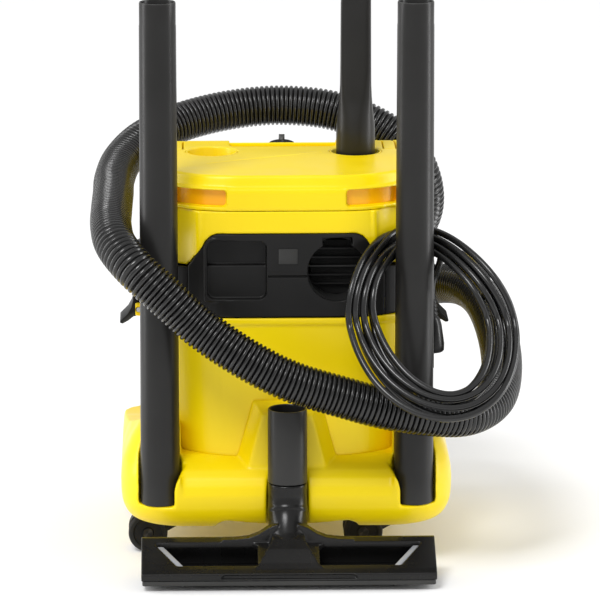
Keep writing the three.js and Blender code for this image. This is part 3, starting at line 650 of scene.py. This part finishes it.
def add_cable(finish):
    line = spline(LEAD_ROUTE, 10)[:-1] + coil_line() + spline(TAIL_ROUTE, 10)[1:]
    line, length = evenly(spline(evenly(line, CABLE_EASING)[0], 6), CABLE_STEP)
    cable = tube_along("mains_cable", line, lambda s: CABLE_RADIUS, 14)
    finished(
        smooth_shaded(cable, 80), "mains_cable", "head", "cable_sheath", finish["cable"],
        "cable_lead", "cable_coil", "cable_tail")
    plug = add_plug(finish)
    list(add_gland(finish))


PLUG_AT = (148.5, -76)


def add_plug(finish):
    """A two-pin moulded plug that hangs pins down, with a ribbed neck."""
    x, y = PLUG_AT
    profile = []
    for z, half_x, half_y in (
        (206, 12, 13), (207.5, 13.2, 14), (214, 13.4, 14), (222, 12.2, 13), (234, 10.4, 11.4),
        (240, 8.6, 9.4), (243, 6.2, 6.2), (245, 6.8, 6.8), (247, 5.6, 5.6), (249, 6.4, 6.4), (251, 5.2, 5.2),
        (253, 5.8, 5.8),
        (255, 4.7, 4.7), (257, 5.2, 5.2), (259.5, 4.2, 4.2),
    ):
        angles = [2 * math.pi * k / 40 for k in range(40)]
        profile.append([(x + half_x * math.cos(a), y + half_y * math.sin(a), z) for a in angles])
    body = loft("tool", profile)
    pins = [prism(circle(x, y + side * 9.5, 2.4, 20), (190.5, 188.6 + 18)) for side in (-1, 1)]
    tips = [prism(circle(x, y + side * 9.5, 1.6, 20), (188.4, 191)) for side in (-1, 1)]
    join(body, *pins, *tips)
    return finished(smooth_shaded(bevelled(body, 0.3, 2), 40), "mains_plug", "head", "black_plastic",
                    finish["gloss"], "plug")


def add_gland(finish):
    """The tapered strain relief that the cable leaves the head through."""
    rings = []
    y, z = GLAND_AT
    levels = [(145.3, 8), (150.6, 8), (151, 6.6)]
    for k in range(7):
        levels += [(152 + 2.4 * k, 5.9 - 0.22 * k), (153.2 + 2.4 * k, 5.1 - 0.2 * k)]
    levels.append((169, 3.9))
    for x, radius in levels:
        rings.append([(x, y + radius * math.cos(a), z + radius * math.sin(a))
                      for a in (2 * math.pi * k / 32 for k in range(32))])
    gland = finished(smooth_shaded(loft("tool", rings), 40), "strain_relief", "head", "seal_rubber",
                     finish["rubber"], "cable_gland")
    return [gland]


# ---- Tub, chassis and wheels ----
def tub_rings(grow, levels, steps=18):
    outline = rounded_rect(TUB["hw"] + grow, TUB["hd"] + grow, TUB["r"] + grow, steps)
    rings = []
    for z in levels:
        share = (z - TUB["floor"]) / (TUB["top"] - TUB["floor"])
        widen = 1 + (TUB["widen"] - 1) * share
        rings.append([(x * widen, y, z) for x, y in outline])
    return rings


def add_tub(finish):
    outer = loft("tool", tub_rings(0, (TUB["floor"], TUB["top"])))
    bead = loft("tool", tub_rings(1.6, (TUB["top"] - 7, TUB["top"])))
    inner = loft("tool", tub_rings(-3, (TUB["floor"] + 4, TUB["top"] + 2)))
    lugs = [block(sorted((133 * s, 153 * s)), (y - 2.5, y + 2.5), (233, 247))
            for s in (-1, 1) for y in (-26.5, 26.5)]
    pins = [bar_y(LATCH_PIVOT[0] * s, LATCH_PIVOT[1], 2.85, (-40, 40), 24) for s in (-1, 1)]
    inlet = bar_y(0, INLET_Z, 27.3, (100, 165))
    join(outer, bead, *lugs)
    cut(outer, inner, inlet, *pins)
    finished(soften(outer, 1.5, 4), "tub_shell", "container", "yellow_plastic", finish["yellow"], "container")


def tube_pocket(s):
    """A round pocket with a slot to the near side that is narrower than the tube and flares upwards."""
    x, room = TUBE["x"], 21.8
    slot = [(x - room + 7.5, 65.3), (x - room + 7.5, 82), (x - room + 5.5, 90), (x - room + 1, 98),
            (x - room - 5, 106), (x - room - 5, 220), (x + room, 220), (x + room, 65.3)]
    return [
        prism(circle(x * s, TUBE["y"], room), (65, 220)),
        upright([(u * s, z) for u, z in slot], (-220, TUBE["y"])),
    ]


def add_chassis(finish):
    outline = rounded_rect(CHASSIS["hw"], CHASSIS["hd"], CHASSIS["r"], 22)
    body = drafted(outline, [
        (43, 0.930), (46, 0.950), (50, 0.967), (56, 0.983), (62, 0.993), (70, 0.998), (84, 1.0), (95, 0.995),
        (104, 0.985), (114, 0.965), (124, 0.94), (133, 0.907), (142, 0.87),
    ])
    room = loft("tool", tub_rings(GAP, (60, 253)))
    brow = sideways([(-230, 60), (-166.5, 66), (-165, 76), (-162.5, 86), (-158, 94), (-151, 101),
                     (-143, 105.5), (-136, 108.5), (-127, 112), (-60, 116), (-60, 220), (-230, 220)],
                    (-107, 107))
    far_shelf = sideways([(230, 84), (164, 99), (127, 111), (127, 220), (230, 220)], (-107, 107))
    falling = sideways([(-100, 143.5), (-80, 138), (-40, 126), (0, 117), (80, 104), (230, 90), (230, 220),
                        (-100, 220)], (-200, 200))
    under = prism(rounded_rect(148, 145, 60), (0, 52))
    arch = upright([(-76, 30), (76, 30), (70, 47), (62, 50), (30, 46.5), (-30, 46.5), (-62, 50), (-70, 47)],
                   (-220, -140))
    pockets = tube_pocket(-1) + tube_pocket(1)
    # The pillar's flanks slant, so they catch the side light beside the nozzle's neck.
    near_face = [(-45, 78), (45, 78), (25, 158), (-25, 158)]
    far_face = [(-62, 70), (62, 70), (35, 169), (-35, 169)]
    pillar = loft("tool", [[(x, -149, z) for x, z in near_face], [(x, -129.3, z) for x, z in far_face]])
    neck_room = prism(circle(0, NOZZLE["neck_y"], 21.2), (0, 220))
    neck_slot = block((-21.2, 21.2), (-220, NOZZLE["neck_y"]), (0, 220))
    bosses = [prism(circle(x, y, 12), (45, 53)) for x, y in CASTERS.values()]
    bores = [prism(circle(x, y, 6.3, 32), (0, 58)) for x, y in CASTERS.values()]
    cut(body, room, brow, far_shelf, falling, under, arch, *pockets)
    join(body, pillar, *bosses)
    cut(body, neck_room, neck_slot, *bores)
    finished(
        soften(body, 1.5, 10), "chassis_moulding", "container", "yellow_plastic", finish["yellow"], "chassis")


def add_casters(finish):
    for corner, (x, y) in CASTERS.items():
        wheel_x = x - TRAIL
        stem = prism(circle(x, y, 5.8, 32), (40, 57))
        rim = [(0.01, 38.5), (12.4, 38.5), (13, 39.5), (13, 43), (12.2, 44), (0.01, 44)]
        crown = turned("tool", rim, x, y, 48)
        hood_arc = arc(wheel_x, WHEEL, WHEEL + 0.6, 34, 150, 18)
        legs = [(wheel_x - 13, 24), (wheel_x - 6, 13), (wheel_x + 8, 13), (x + 8, 30), (x + 8, 41)]
        hood = upright([*hood_arc, *legs], (y - 5.5, y + 5.5))
        join(stem, crown, hood)
        cut(stem, bar_y(wheel_x, WHEEL, 3.4, (y - 20, y + 20), 24))
        finished(smooth_shaded(bevelled(stem, 0.7, 2), 40), f"caster_fork_{corner}", f"caster_{corner}",
                 "black_plastic", finish["black"], f"caster_housing_{corner}")
        add_wheels(finish, corner, wheel_x, y)


def add_wheels(finish, corner, x, y):
    """Two discs on one axle, with a rounded tread, a dished face and a hub."""
    half, r = 4.5, WHEEL
    section = [
        (0.01, half), (5, half), (6, half - 1.6), (r - 6, half - 1.6), (r - 4.8, half), (r - 1.4, half),
        (r - 0.4, half - 1), (r, half - 2.4), (r, 2.4 - half), (r - 0.4, 1 - half), (r - 1.4, -half),
        (0.01, -half),
    ]
    discs = []
    for side in (-1, 1):
        rings = []
        for k in range(72):
            angle = 2 * math.pi * k / 72
            rings.append([(x + u * math.cos(angle), y + side * (12 + across), r + u * math.sin(angle))
                          for u, across in section])
        discs.append(loft("tool", rings, closed=True))
    axle = bar_y(x, r, 3, (y - 12, y + 12), 24)
    join(axle, *discs)
    finished(smooth_shaded(axle, 30), f"caster_wheel_pair_{corner}", f"wheels_{corner}", "wheel_rubber",
             finish["rubber"], f"caster_wheels_{corner}")


# ---- Head ----
def head_outline(grow, steps=24):
    return rounded_rect(HEAD["hw"] + grow, HEAD["hd"] + grow, HEAD["r"] + grow, steps)


def bezier(a, b, c, steps=8):
    out = []
    for k in range(steps + 1):
        t = k / steps
        out.append(tuple((1 - t) ** 2 * p + 2 * t * (1 - t) * q + t * t * r for p, q, r in zip(a, b, c)))
    return out


def panel_outline(grow):
    bottom, top_half, top = 99 + grow, 78 + grow, 335 + grow
    corner = bezier((top_half + 6, top - 14), (top_half, top), (top_half - 12, top))
    right = [(bottom, 240), (bottom, 300), *corner]
    return right + [(-x, z) for x, z in reversed(right)]


def fluted(shell, radius, z, inside):
    """Adds a backed upright groove behind each parked tube."""
    for s in (-1, 1):
        wall = prism(circle(TUBE["x"] * s, TUBE["y"], radius + 3), z)
        common(wall, prism(inside, z))
        join(shell, wall)
    for s in (-1, 1):
        cut(shell, prism(circle(TUBE["x"] * s, TUBE["y"], radius), (z[0] - 2, z[1] + 2)))
    return shell


def add_head(finish):
    near = -HEAD["hd"]
    window = (near - 10, near + 26)

    shell = drafted(head_outline(0), [(300, 1), (320, 1), (340, 0.994), (357.7, 0.985)])
    cut(shell, drafted(head_outline(0), [(299, 0.978), (320, 0.978), (359, 0.963)]))
    fluted(shell, 41, (300, 357.7), head_outline(0))
    cut(shell, upright(panel_outline(GAP), window))
    finished(soften(shell, 1.2, 5), "head_skirt", "head", "yellow_plastic", finish["yellow"], "head_shell")

    rim = prism(head_outline(0), (HEAD["base"], HEAD["shell"] - GAP))
    cut(rim, prism(head_outline(-3), (200, 400)))
    plate = prism(head_outline(-2.5), (262, 266))
    cut(plate, block((-110, 110), (near - 5, near + 36), (240, 400)))
    join(rim, plate)
    cut(rim, prism(circle(0, 0, 32), (200, 300)), upright(panel_outline(GAP), window))
    finished(soften(rim, 1.2, 3), "head_rim", "head", "black_plastic", finish["black"], "head_base")

    add_rear_panel(finish, near)
    add_hood(finish)


def add_rear_panel(finish, near):
    panel = prism(head_outline(0), (HEAD["base"] + 0.5, 400))
    cut(panel, prism(head_outline(-5), (200, 420)))
    common(panel, upright(panel_outline(0), (near - 1, near + 25)))
    pocket_wall = block((-82.5, -17.5), (near + 1, near + 19.5), (266, 330.5))
    common(pocket_wall, upright(panel_outline(0), (near, near + 40)))
    join(panel, pocket_wall)
    pocket = upright(
        [*arc(-28, 320, 8, 0, 90, 8), *arc(-72, 320, 8, 90, 180, 8), *arc(-72, 276, 8, 180, 270, 8),
         *arc(-28, 276, 8, 270, 360, 8)], (near - 5, near + 17))
    port = bar_y(BLOWER["x"], BLOWER["z"], BLOWER["r"], (near - 5, near + 22), 96)
    key = upright([(36, 300), (66, 300), (66, 331), (36, 331)], (near - 5, near + 22))
    grooves = [block((-19, 21), (near - 2, near + 2.2), (z, z + 1.7)) for z in (290.4, 294.6)]
    cut(panel, pocket, port, key, *grooves)
    step = block((-80.5, -19.5), (near + 9, near + 18), (267.5, 301.5))
    join(panel, step)
    finished(
        soften(panel, 0.8, 4), "rear_panel_moulding", "head", "black_plastic", finish["black"], "rear_panel")

    liner = bar_y(BLOWER["x"], BLOWER["z"], BLOWER["r"] + 1.5, (near + 5.3, near + 34), 96)
    common(liner, prism(head_outline(-5.4), (240, 400)))
    cut(liner, bar_y(BLOWER["x"], BLOWER["z"], BLOWER["r"] - 0.5, (near - 5, near + 40), 96))
    key_room = upright([(36.5, 300), (65.5, 300), (65.5, 345), (36.5, 345)], (near - 5, near + 30))
    cut(liner, key_room)
    bars = [block((BLOWER["x"] - 29, BLOWER["x"] + 29), (near + 30.5, near + 33), (z - 0.8, z + 0.8))
            for z in (278, 287, 296, 305, 314)]
    join(liner, *bars)
    finished(
        smooth_shaded(liner, 30), "blower_liner", "head", "black_plastic", finish["black"], "blower_port")

    plate = upright(rounded_rect(9.5, 7.75, 1, 4, 1.5, 312.25), (near - 0.9, near - GAP))
    finished(
        smooth_shaded(bevelled(plate, 0.25, 2)), "blank_rating_plate", "head", "grey_plastic", finish["grey"],
        "nameplate_blank")


def handle_outline(grow):
    """The bow's plan: two arms from the pivots and a bar across, with rounded corners."""
    outer, inner = HANDLE["outer"] + grow, HANDLE["inner"] - grow
    reach, width = HANDLE["reach"], HANDLE["width"]
    heel = HANDLE_PIVOT[0] - 4 - grow
    outer_corner = bezier((outer, reach - 26), (outer - 4, reach - 4 + grow), (outer - 34, reach + grow))
    inner_corner = bezier(
        (-inner, reach - width - 10), (-inner + 1, reach - width - grow), (12 - inner, reach - width - grow))
    right = [(outer, heel), *outer_corner]
    left = [(-x, y) for x, y in reversed(right)]
    inside = [(-inner, heel), *inner_corner]
    return right + left + inside + [(-x, y) for x, y in reversed(inside)]


def add_hood(finish):
    levels = [(358, 0.985), (362, 0.986), (376, 0.982), (380, 0.976), (381.5, 0.955), (385, 0.945),
              (390, 0.932), (392, 0.924), (393, 0.913)]
    hood = drafted(head_outline(0), levels)
    slope = [(74, 393), (140, 352), (200, 352), (200, 420), (74, 420)]
    cut(hood, sideways(slope, (-200, 200)))
    inside = drafted(head_outline(0), [(357, 0.963), (378, 0.955), (381, 0.88)])
    cut(inside, sideways([(70, 386), (125, 352), (200, 340), (200, 420), (70, 420)], (-200, 200)))
    cut(hood, inside)
    fluted(hood, 38, (358, 378), head_outline(-4))
    # The two recesses in the band have a floor that follows the band, and a wall behind it.
    floors, recesses = [], []
    for s in (-1, 1):
        opening = rounded_rect(26.5, 8.5, 3.5, 6, 86.5 * s, 370.5)
        floor = upright(rounded_rect(29, 11, 3.5, 6, 86.5 * s, 370.5), (-140, -60))
        common(floor, prism(head_outline(-3), (350, 390)))
        cut(floor, prism(head_outline(-13), (340, 400)))
        floors.append(floor)
        room = upright(opening, (-150, -60))
        cut(room, prism(head_outline(-10), (340, 400)))
        recesses.append(room)
    join(hood, *floors)
    # A thin orange sheet on each recess floor paints the recess's shade and reflected yellow light.
    for side, s in SIDES:
        inset = upright(rounded_rect(25.6, 7.6, 3, 6, 86.5 * s, 370.5), (-150, -60))
        common(inset, prism(head_outline(-9.2), (350, 390)))
        cut(inset, prism(head_outline(-10.4), (340, 400)))
        finished(smooth_shaded(inset, 30), f"band_recess_shade_{side}", "head", "yellow_plastic", finish["recess_shade"])
    sockets = [prism(circle(SOCKET["x"] * s, SOCKET["y"], SOCKET["r"] + 2.3), (340, 420)) for s in (-1, 1)]
    handle_room = prism(handle_outline(1.2), (384.7, 420))
    finger_room = prism(rounded_rect(55, 20, 8, 6, 0, 61), (384.7, 420))
    knob_room = prism(circle(0, 104, 8, 32), (300, 420))
    heel_rooms = [bar_x(*HANDLE_PIVOT, 6.3, (102.8 * s, 117.2 * s), 32) for s in (-1, 1)]
    relief = prism([(-80, -56), (-45, -36), (41, 6), (41, 7.6), (-46, -34.4), (-81, -54.4)], (391.9, 420))
    cut(hood, *recesses, *sockets, handle_room, finger_room, knob_room, relief, *heel_rooms)
    finished(soften(hood, 1.1, 4), "head_cover", "head", "yellow_plastic", finish["yellow"], "head_hood")

    for side, s in SIDES:
        r, bottom = SOCKET["r"], SOCKET["bottom"]
        profile = [(0.01, bottom), (0.01, bottom - 2), (r + 2, bottom - 2), (r + 2, 392), (r + 1.6, 392.6),
                   (r + 0.6, 392.6), (r, 391.6), (r, bottom + 2), (r - 2, bottom)]
        cup = turned("tool", profile, SOCKET["x"] * s, SOCKET["y"], 96)
        finished(smooth_shaded(cup, 40), f"accessory_cup_liner_{side}", "head", "yellow_plastic",
                 finish["yellow"], f"accessory_cup_{side}")
    add_carry_handle(finish)


def add_carry_handle(finish):
    handle = prism(handle_outline(0), (HANDLE["low"], HANDLE["high"]))
    top = HANDLE["high"]
    below_slope = [(0, 300), (0, top), (74, top), (140, top - SLOPE_FALL[0]), (200, top - SLOPE_FALL[0]),
                   (200, 300)]
    common(handle, sideways(below_slope, (-200, 200)))
    cut(handle, *[bar_x(*HANDLE_PIVOT, 2.4, (100 * s, 125 * s), 24) for s in (-1, 1)])
    finished(
        soften(handle, 0.9, 5), "carry_handle_bow", "carry_handle", "yellow_plastic", finish["yellow"],
        "carry_handle")


# ---- Latches, inlet, switch and small pieces ----
def add_latches(finish):
    for side, s in SIDES:
        curve = [
            (146, 247), (146, 296), (147.5, 298.6), (150, 299), (152, 298), (153.4, 294), (154.6, 280),
            (155, 262), (155.4, 248), (157, 241), (161, 234), (167, 228), (169, 226), (168.6, 224.6),
            (166, 224), (160, 227.5), (155, 231.5), (149.2, 233), (146.5, 238),
        ]
        clasp = upright([(x * s, z) for x, z in curve], (-22, 22))
        cut(clasp, bar_y(LATCH_PIVOT[0] * s, LATCH_PIVOT[1], 2.85, (-30, 30), 24))
        grips = [block(sorted((154.2 * s, 158 * s)), (-16, 16), (z, z + 1.6)) for z in (266, 272, 278, 284)]
        cut(clasp, *grips)
        finished(smooth_shaded(bevelled(clasp, 0.9, 3), 40), f"latch_clasp_{side}", f"latch_{side}",
                 "black_plastic", finish["black"], f"latch_{side}")


def add_inlet(finish):
    socket = bar_y(0, INLET_Z, 27, (118, 146), 96)
    flange = bar_y(0, INLET_Z, 36, (129.3, 134), 96)
    join(socket, flange)
    cut(socket, bar_y(0, INLET_Z, 23.8, (100, 160), 96))
    screws = [bar_y(31 * math.cos(a), INLET_Z + 31 * math.sin(a), 2.6, (133, 135.2), 24)
              for a in (math.radians(45 + 90 * k) for k in range(4))]
    join(socket, *screws)
    finished(smooth_shaded(bevelled(socket, 0.6, 2), 40), "inlet_flange", "container", "black_plastic",
             finish["black"], "inlet_socket")
    line, _ = evenly(spline([
        (0, 120, 200), (0, 136, 200), (0, 150, 200), (3, 162, 200), (12, 171.5, 200), (24, 175.6, 200),
        (36, 176, 200), (47.4, 176, 200),
    ]), 1.2)

    def radius(distance):
        on_collar = distance > 84 or 30 < distance < 34
        return 22.81 if on_collar else 22.0

    elbow = tube_along("tool", line, radius, 64)
    finished(
        smooth_shaded(elbow, 40), "hose_elbow", "container", "black_plastic", finish["gloss"],
        "hose_connector")


def add_switch(finish):
    """A dial with a finger bar, square to the slope that it sits on."""
    tilt = math.atan2(*SLOPE_FALL)
    wheel = [(0.01, 0.8), (15.2, 0.8), (16, 1.8), (15.4, 9.5), (14, 11.6), (0.01, 12)]
    knob = turned("tool", wheel, 0, 0, 96)
    fin = block((-3, 3), (-14.4, 14.4), (11, 17))
    stalk = prism(circle(0, 0, 4, 24), (-6, 1))
    join(knob, fin, stalk)
    notches = [prism(circle(17.2 * math.cos(a), 17.2 * math.sin(a), 2.4, 16), (3, 20))
               for a in (2 * math.pi * k / 16 for k in range(16))]
    cut(knob, *notches)
    bevelled(knob, 0.5, 2)
    to_origin = Matrix.Translation(-place(0, 0, 0))
    to_slope = Matrix.Translation(place(*SWITCH_AT))
    knob.data.transform(to_slope @ Matrix.Rotation(-tilt, 4, "X") @ to_origin)
    finished(
        smooth_shaded(knob, 40), "switch_dial", "switch_knob", "black_plastic", finish["gloss"],
        "switch_knob")


def add_hook(finish):
    hook = copy_of_node("cable_hook", "cable_hook_moulding")
    finished(smooth_shaded(bevelled(hook, 0.6, 2), 40), "cable_hook_moulding", "head", "black_plastic",
             finish["black"], "cable_hook")


# ---- Accessories ----
def add_tubes(finish):
    for side, s in SIDES:
        z0, z1, low, high = TUBE["z0"], TUBE["z1"], TUBE["low"], TUBE["high"]
        profile = [
            (low - 1.6, z0 + 0.6), (low - 1.0, z0), (low - 0.5, z0), (low, z0 + 0.7), (low, z0 + 58),
            (low - 0.15, z0 + 60), (high + 0.25, z1 - 24), (high, z1 - 22), (high, z1 - 1.2),
            (high - 0.5, z1), (high - 1.1, z1), (high - 1.6, z1 - 1), (high - 1.6, z1 - 24),
            (low - 1.7, z0 + 60),
        ]
        made = turned("tool", profile, TUBE["x"] * s, TUBE["y"], 128)
        finished(smooth_shaded(made, 30), f"suction_tube_{side}", f"tube_{side}", "tube_plastic",
                 finish["tube"], f"tube_{side}")


def super_ring(cx, cy, z, half_x, half_y, power, slant=0.0, sides=96):
    """A ring between an ellipse (power 2) and a rounded box (higher powers), slanted along X."""
    ring = []
    for k in range(sides):
        angle = 2 * math.pi * k / sides
        c, s = math.cos(angle), math.sin(angle)
        x = half_x * math.copysign(abs(c) ** (2 / power), c)
        y = half_y * math.copysign(abs(s) ** (2 / power), s)
        ring.append((cx + x, cy + y, z + slant * x))
    return ring


def add_crevice_nozzle(finish):
    x, y = SOCKET["x"], SOCKET["y"]
    bottom = SOCKET["bottom"] + GAP
    # Each level: z, half width, half depth, power, slant.
    outer = [
        (bottom, 19.4, 19.4, 2, 0), (bottom + 1, 20, 20, 2, 0), (412, 20, 20, 2, 0),
        (420, 19.8, 19.6, 2.05, 0),
        (430, 18.6, 17.2, 2.2, 0), (440, 17.4, 13.8, 2.6, 0), (450, 16.6, 10.8, 3.4, 0),
        (462, 16.0, 9.2, 4.5, 0), (480, 15.8, 8.4, 6, 0), (540, 15.5, 7.6, 6, 0.1), (558, 15.4, 7.4, 6, 0.62),
        (561, 14.9, 6.9, 6, 0.66),
    ]
    inner = [
        (bottom - 3, 18, 18, 2, 0), (412, 18, 18, 2, 0), (430, 16.4, 15, 2.2, 0), (450, 14.4, 8.4, 3.4, 0),
        (480, 13.6, 6.2, 6, 0), (540, 13.3, 5.4, 6, 0.1), (575, 13.2, 5.2, 6, 0.66),
    ]
    solid, bore = (
        loft("tool", [super_ring(x, y, z, a, b, power, slant) for z, a, b, power, slant in levels])
        for levels in (outer, inner)
    )
    cut(solid, bore)
    finished(
        smooth_shaded(solid, 35), "crevice_nozzle_moulding", "crevice_nozzle", "tube_plastic", finish["tube"],
        "crevice_nozzle")


def add_floor_nozzle(finish):
    w, front, back = NOZZLE["hw"], NOZZLE["front"], NOZZLE["back"]
    neck_y, r, rim = NOZZLE["neck_y"], NOZZLE["neck_r"], NOZZLE["rim"]
    profile = [(r - 2, 93), (r - 0.6, 92.5), (r, 93.2), (r, rim - 1), (r - 0.5, rim), (r - 1.4, rim),
               (r - 2, rim - 0.8)]
    finished(smooth_shaded(turned("tool", profile, 0, neck_y, 128), 30), "nozzle_neck_tube", "floor_nozzle",
             "tube_plastic", finish["tube"], "nozzle_neck")

    wedge = sideways([(front, 11), (front, 18), (front + 7, 21.5), (back - 6, 40.5), (back - 2, 40.5),
                      (back, 38), (back, 11)], (-w, w))
    under = sideways([(front + 4, 0), (front + 4, 15), (back - 4, 35), (back - 4, 0)], (-w + 3, w - 3))
    windows = []
    for s in (-1, 1):
        outline = [(31, -232), (110, -232), (112.5, -231), (133, -198), (132, -196), (36, -196), (31, -200)]
        windows.append(prism([(x * s, y) for x, y in outline], (13.5, 80)))
    well = block((-w + 6, w - 6), (front + 6, back - 6), (11, 13))
    end = [(front + 2, 11), (front + 7, 21.5), (back - 3, 39), (back - 3, 11)]
    ends = [sideways(end, sorted((145.2 * s, w * s))) for s in (-1, 1)]
    join(wedge, *ends)
    cut(wedge, under, *windows)
    join(wedge, well)
    plan = [(-36, front + 5), (36, front + 5), (30, -232), (23, -221), (17, -210), (15, back - 1)]
    gusset = prism(plan + [(-x, y) for x, y in reversed(plan[2:])], (13, 46))
    rising = [(-300, 0), (front + 2, 18), (-232, 26), (-219, 37), (-209, 44), (-150, 60), (-150, 0)]
    common(gusset, sideways(rising, (-60, 60)))
    bend = [(0, neck_y, 76), (0, -172, 56), (0, -188, 36)]
    neck_line, _ = evenly(spline([(0, neck_y, 92), *bend, (0, -203, 24)]), 1.5)

    def neck_radius(distance):
        ring = 0.7 if 26 < distance < 30 else 0
        lead_in = 0.5 if distance < 0.8 else 0
        return r + ring - lead_in

    neck = tube_along("tool", neck_line, neck_radius, 96)
    bore_line, _ = evenly(spline([(0, neck_y, 100), *bend, (0, -206, 10)]), 4)
    collars = []
    for s in (-1, 1):
        rise = [(10, 56), (20, 52), (29, 46), (39, 42), (52, 40.5), (66, 40.3), (66, 34), (10, 34)]
        collars.append(upright([(x * s, z) for x, z in rise], (-196, back - 0.2)))
    join(wedge, gusset, neck, *collars)
    groove = upright([(-70, 13), (70, 13), (64, 17.2), (-64, 17.2)], (-260, front + 2.5))
    cut(wedge, tube_along("tool", bore_line, lambda s: r - 2.5, 48), groove)
    common(wedge, block((-200, 200), (front, 0), (11, 92)))
    finished(soften(wedge, 0.9, 3), "nozzle_body_moulding", "floor_nozzle", "black_plastic", finish["gloss"],
             "nozzle_housing")
    # A pale grey sheet at each window's sloped end paints the highlight on the black frame's inner edge.
    for side, s in SIDES:
        plan = [(104, -231), (110, -231), (131, -197.5), (125, -197.5)]
        strip = prism([(x * s, y) for x, y in plan], (13.2, 40))
        common(strip, sideways([(-232, 10), (-232, 21.5), (-196, 34.5), (-196, 10)], (-140, 140)))
        finished(smooth_shaded(bevelled(strip, 0.5, 2), 40), f"nozzle_window_sheen_{side}", "floor_nozzle",
                 "grey_plastic", finish["strip"])

    sole = prism(rounded_rect(w - 1, (back - front) / 2 - 1, 3, 6, 0, (front + back) / 2), (6, 10.7))
    cut(sole, block((-110, 110), (front + 12, front + 28), (0, 30)))
    finished(smooth_shaded(bevelled(sole, 0.8, 2), 40), "nozzle_sole_plate", "floor_nozzle", "grey_plastic",
             finish["grey"], "nozzle_sole")


# ---- The whole object ----
CAD_FINISHES = {
    "steel": ("latch_pin_left", "latch_pin_right", "handle_pin_left", "handle_pin_right", "head_screw_1",
              "head_screw_2", "head_screw_3", "head_screw_4", "motor_rotor", "impeller"),
    "grey": ("fan_housing", "motor_stator"),
    "black": ("float_cage", "filter_lock"),
    "rubber": ("container_seal", "motor_seal"),
    "paper": ("cartridge_filter",),
    "foam": ("exhaust_foam",),
    "white": ("float",),
    "bristle": ("nozzle_brush",),
}


def finish_cad_nodes(finish):
    for key, nodes in CAD_FINISHES.items():
        for node in nodes:
            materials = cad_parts[node].data.materials
            materials.clear()
            materials.append(finish[key])


def add_floor():
    mesh = bpy.data.meshes.new("studio_floor")
    reach = 12
    corners = [(-reach, -reach, 0), (reach, -reach, 0), (reach, reach, 0), (-reach, reach, 0)]
    mesh.from_pydata(corners, [], [(0, 1, 2, 3)])
    floor = bpy.data.objects.new("studio_floor", mesh)
    bpy.context.scene.collection.objects.link(floor)
    m = Nodes("studio_floor")
    m.set("Base Color", m.mix(m.noise(2, 2), (0.93, 0.93, 0.93), (0.95, 0.95, 0.95)))
    m.set("Roughness", 0.9)
    mesh.materials.append(m.material)


add_camera()
add_studio()
add_floor()
FINISH = make_materials()
add_hose(FINISH)
add_cable(FINISH)
add_tub(FINISH)
add_chassis(FINISH)
add_casters(FINISH)
add_head(FINISH)
add_latches(FINISH)
add_inlet(FINISH)
add_switch(FINISH)
add_hook(FINISH)
add_tubes(FINISH)
add_crevice_nozzle(FINISH)
add_floor_nozzle(FINISH)
finish_cad_nodes(FINISH)
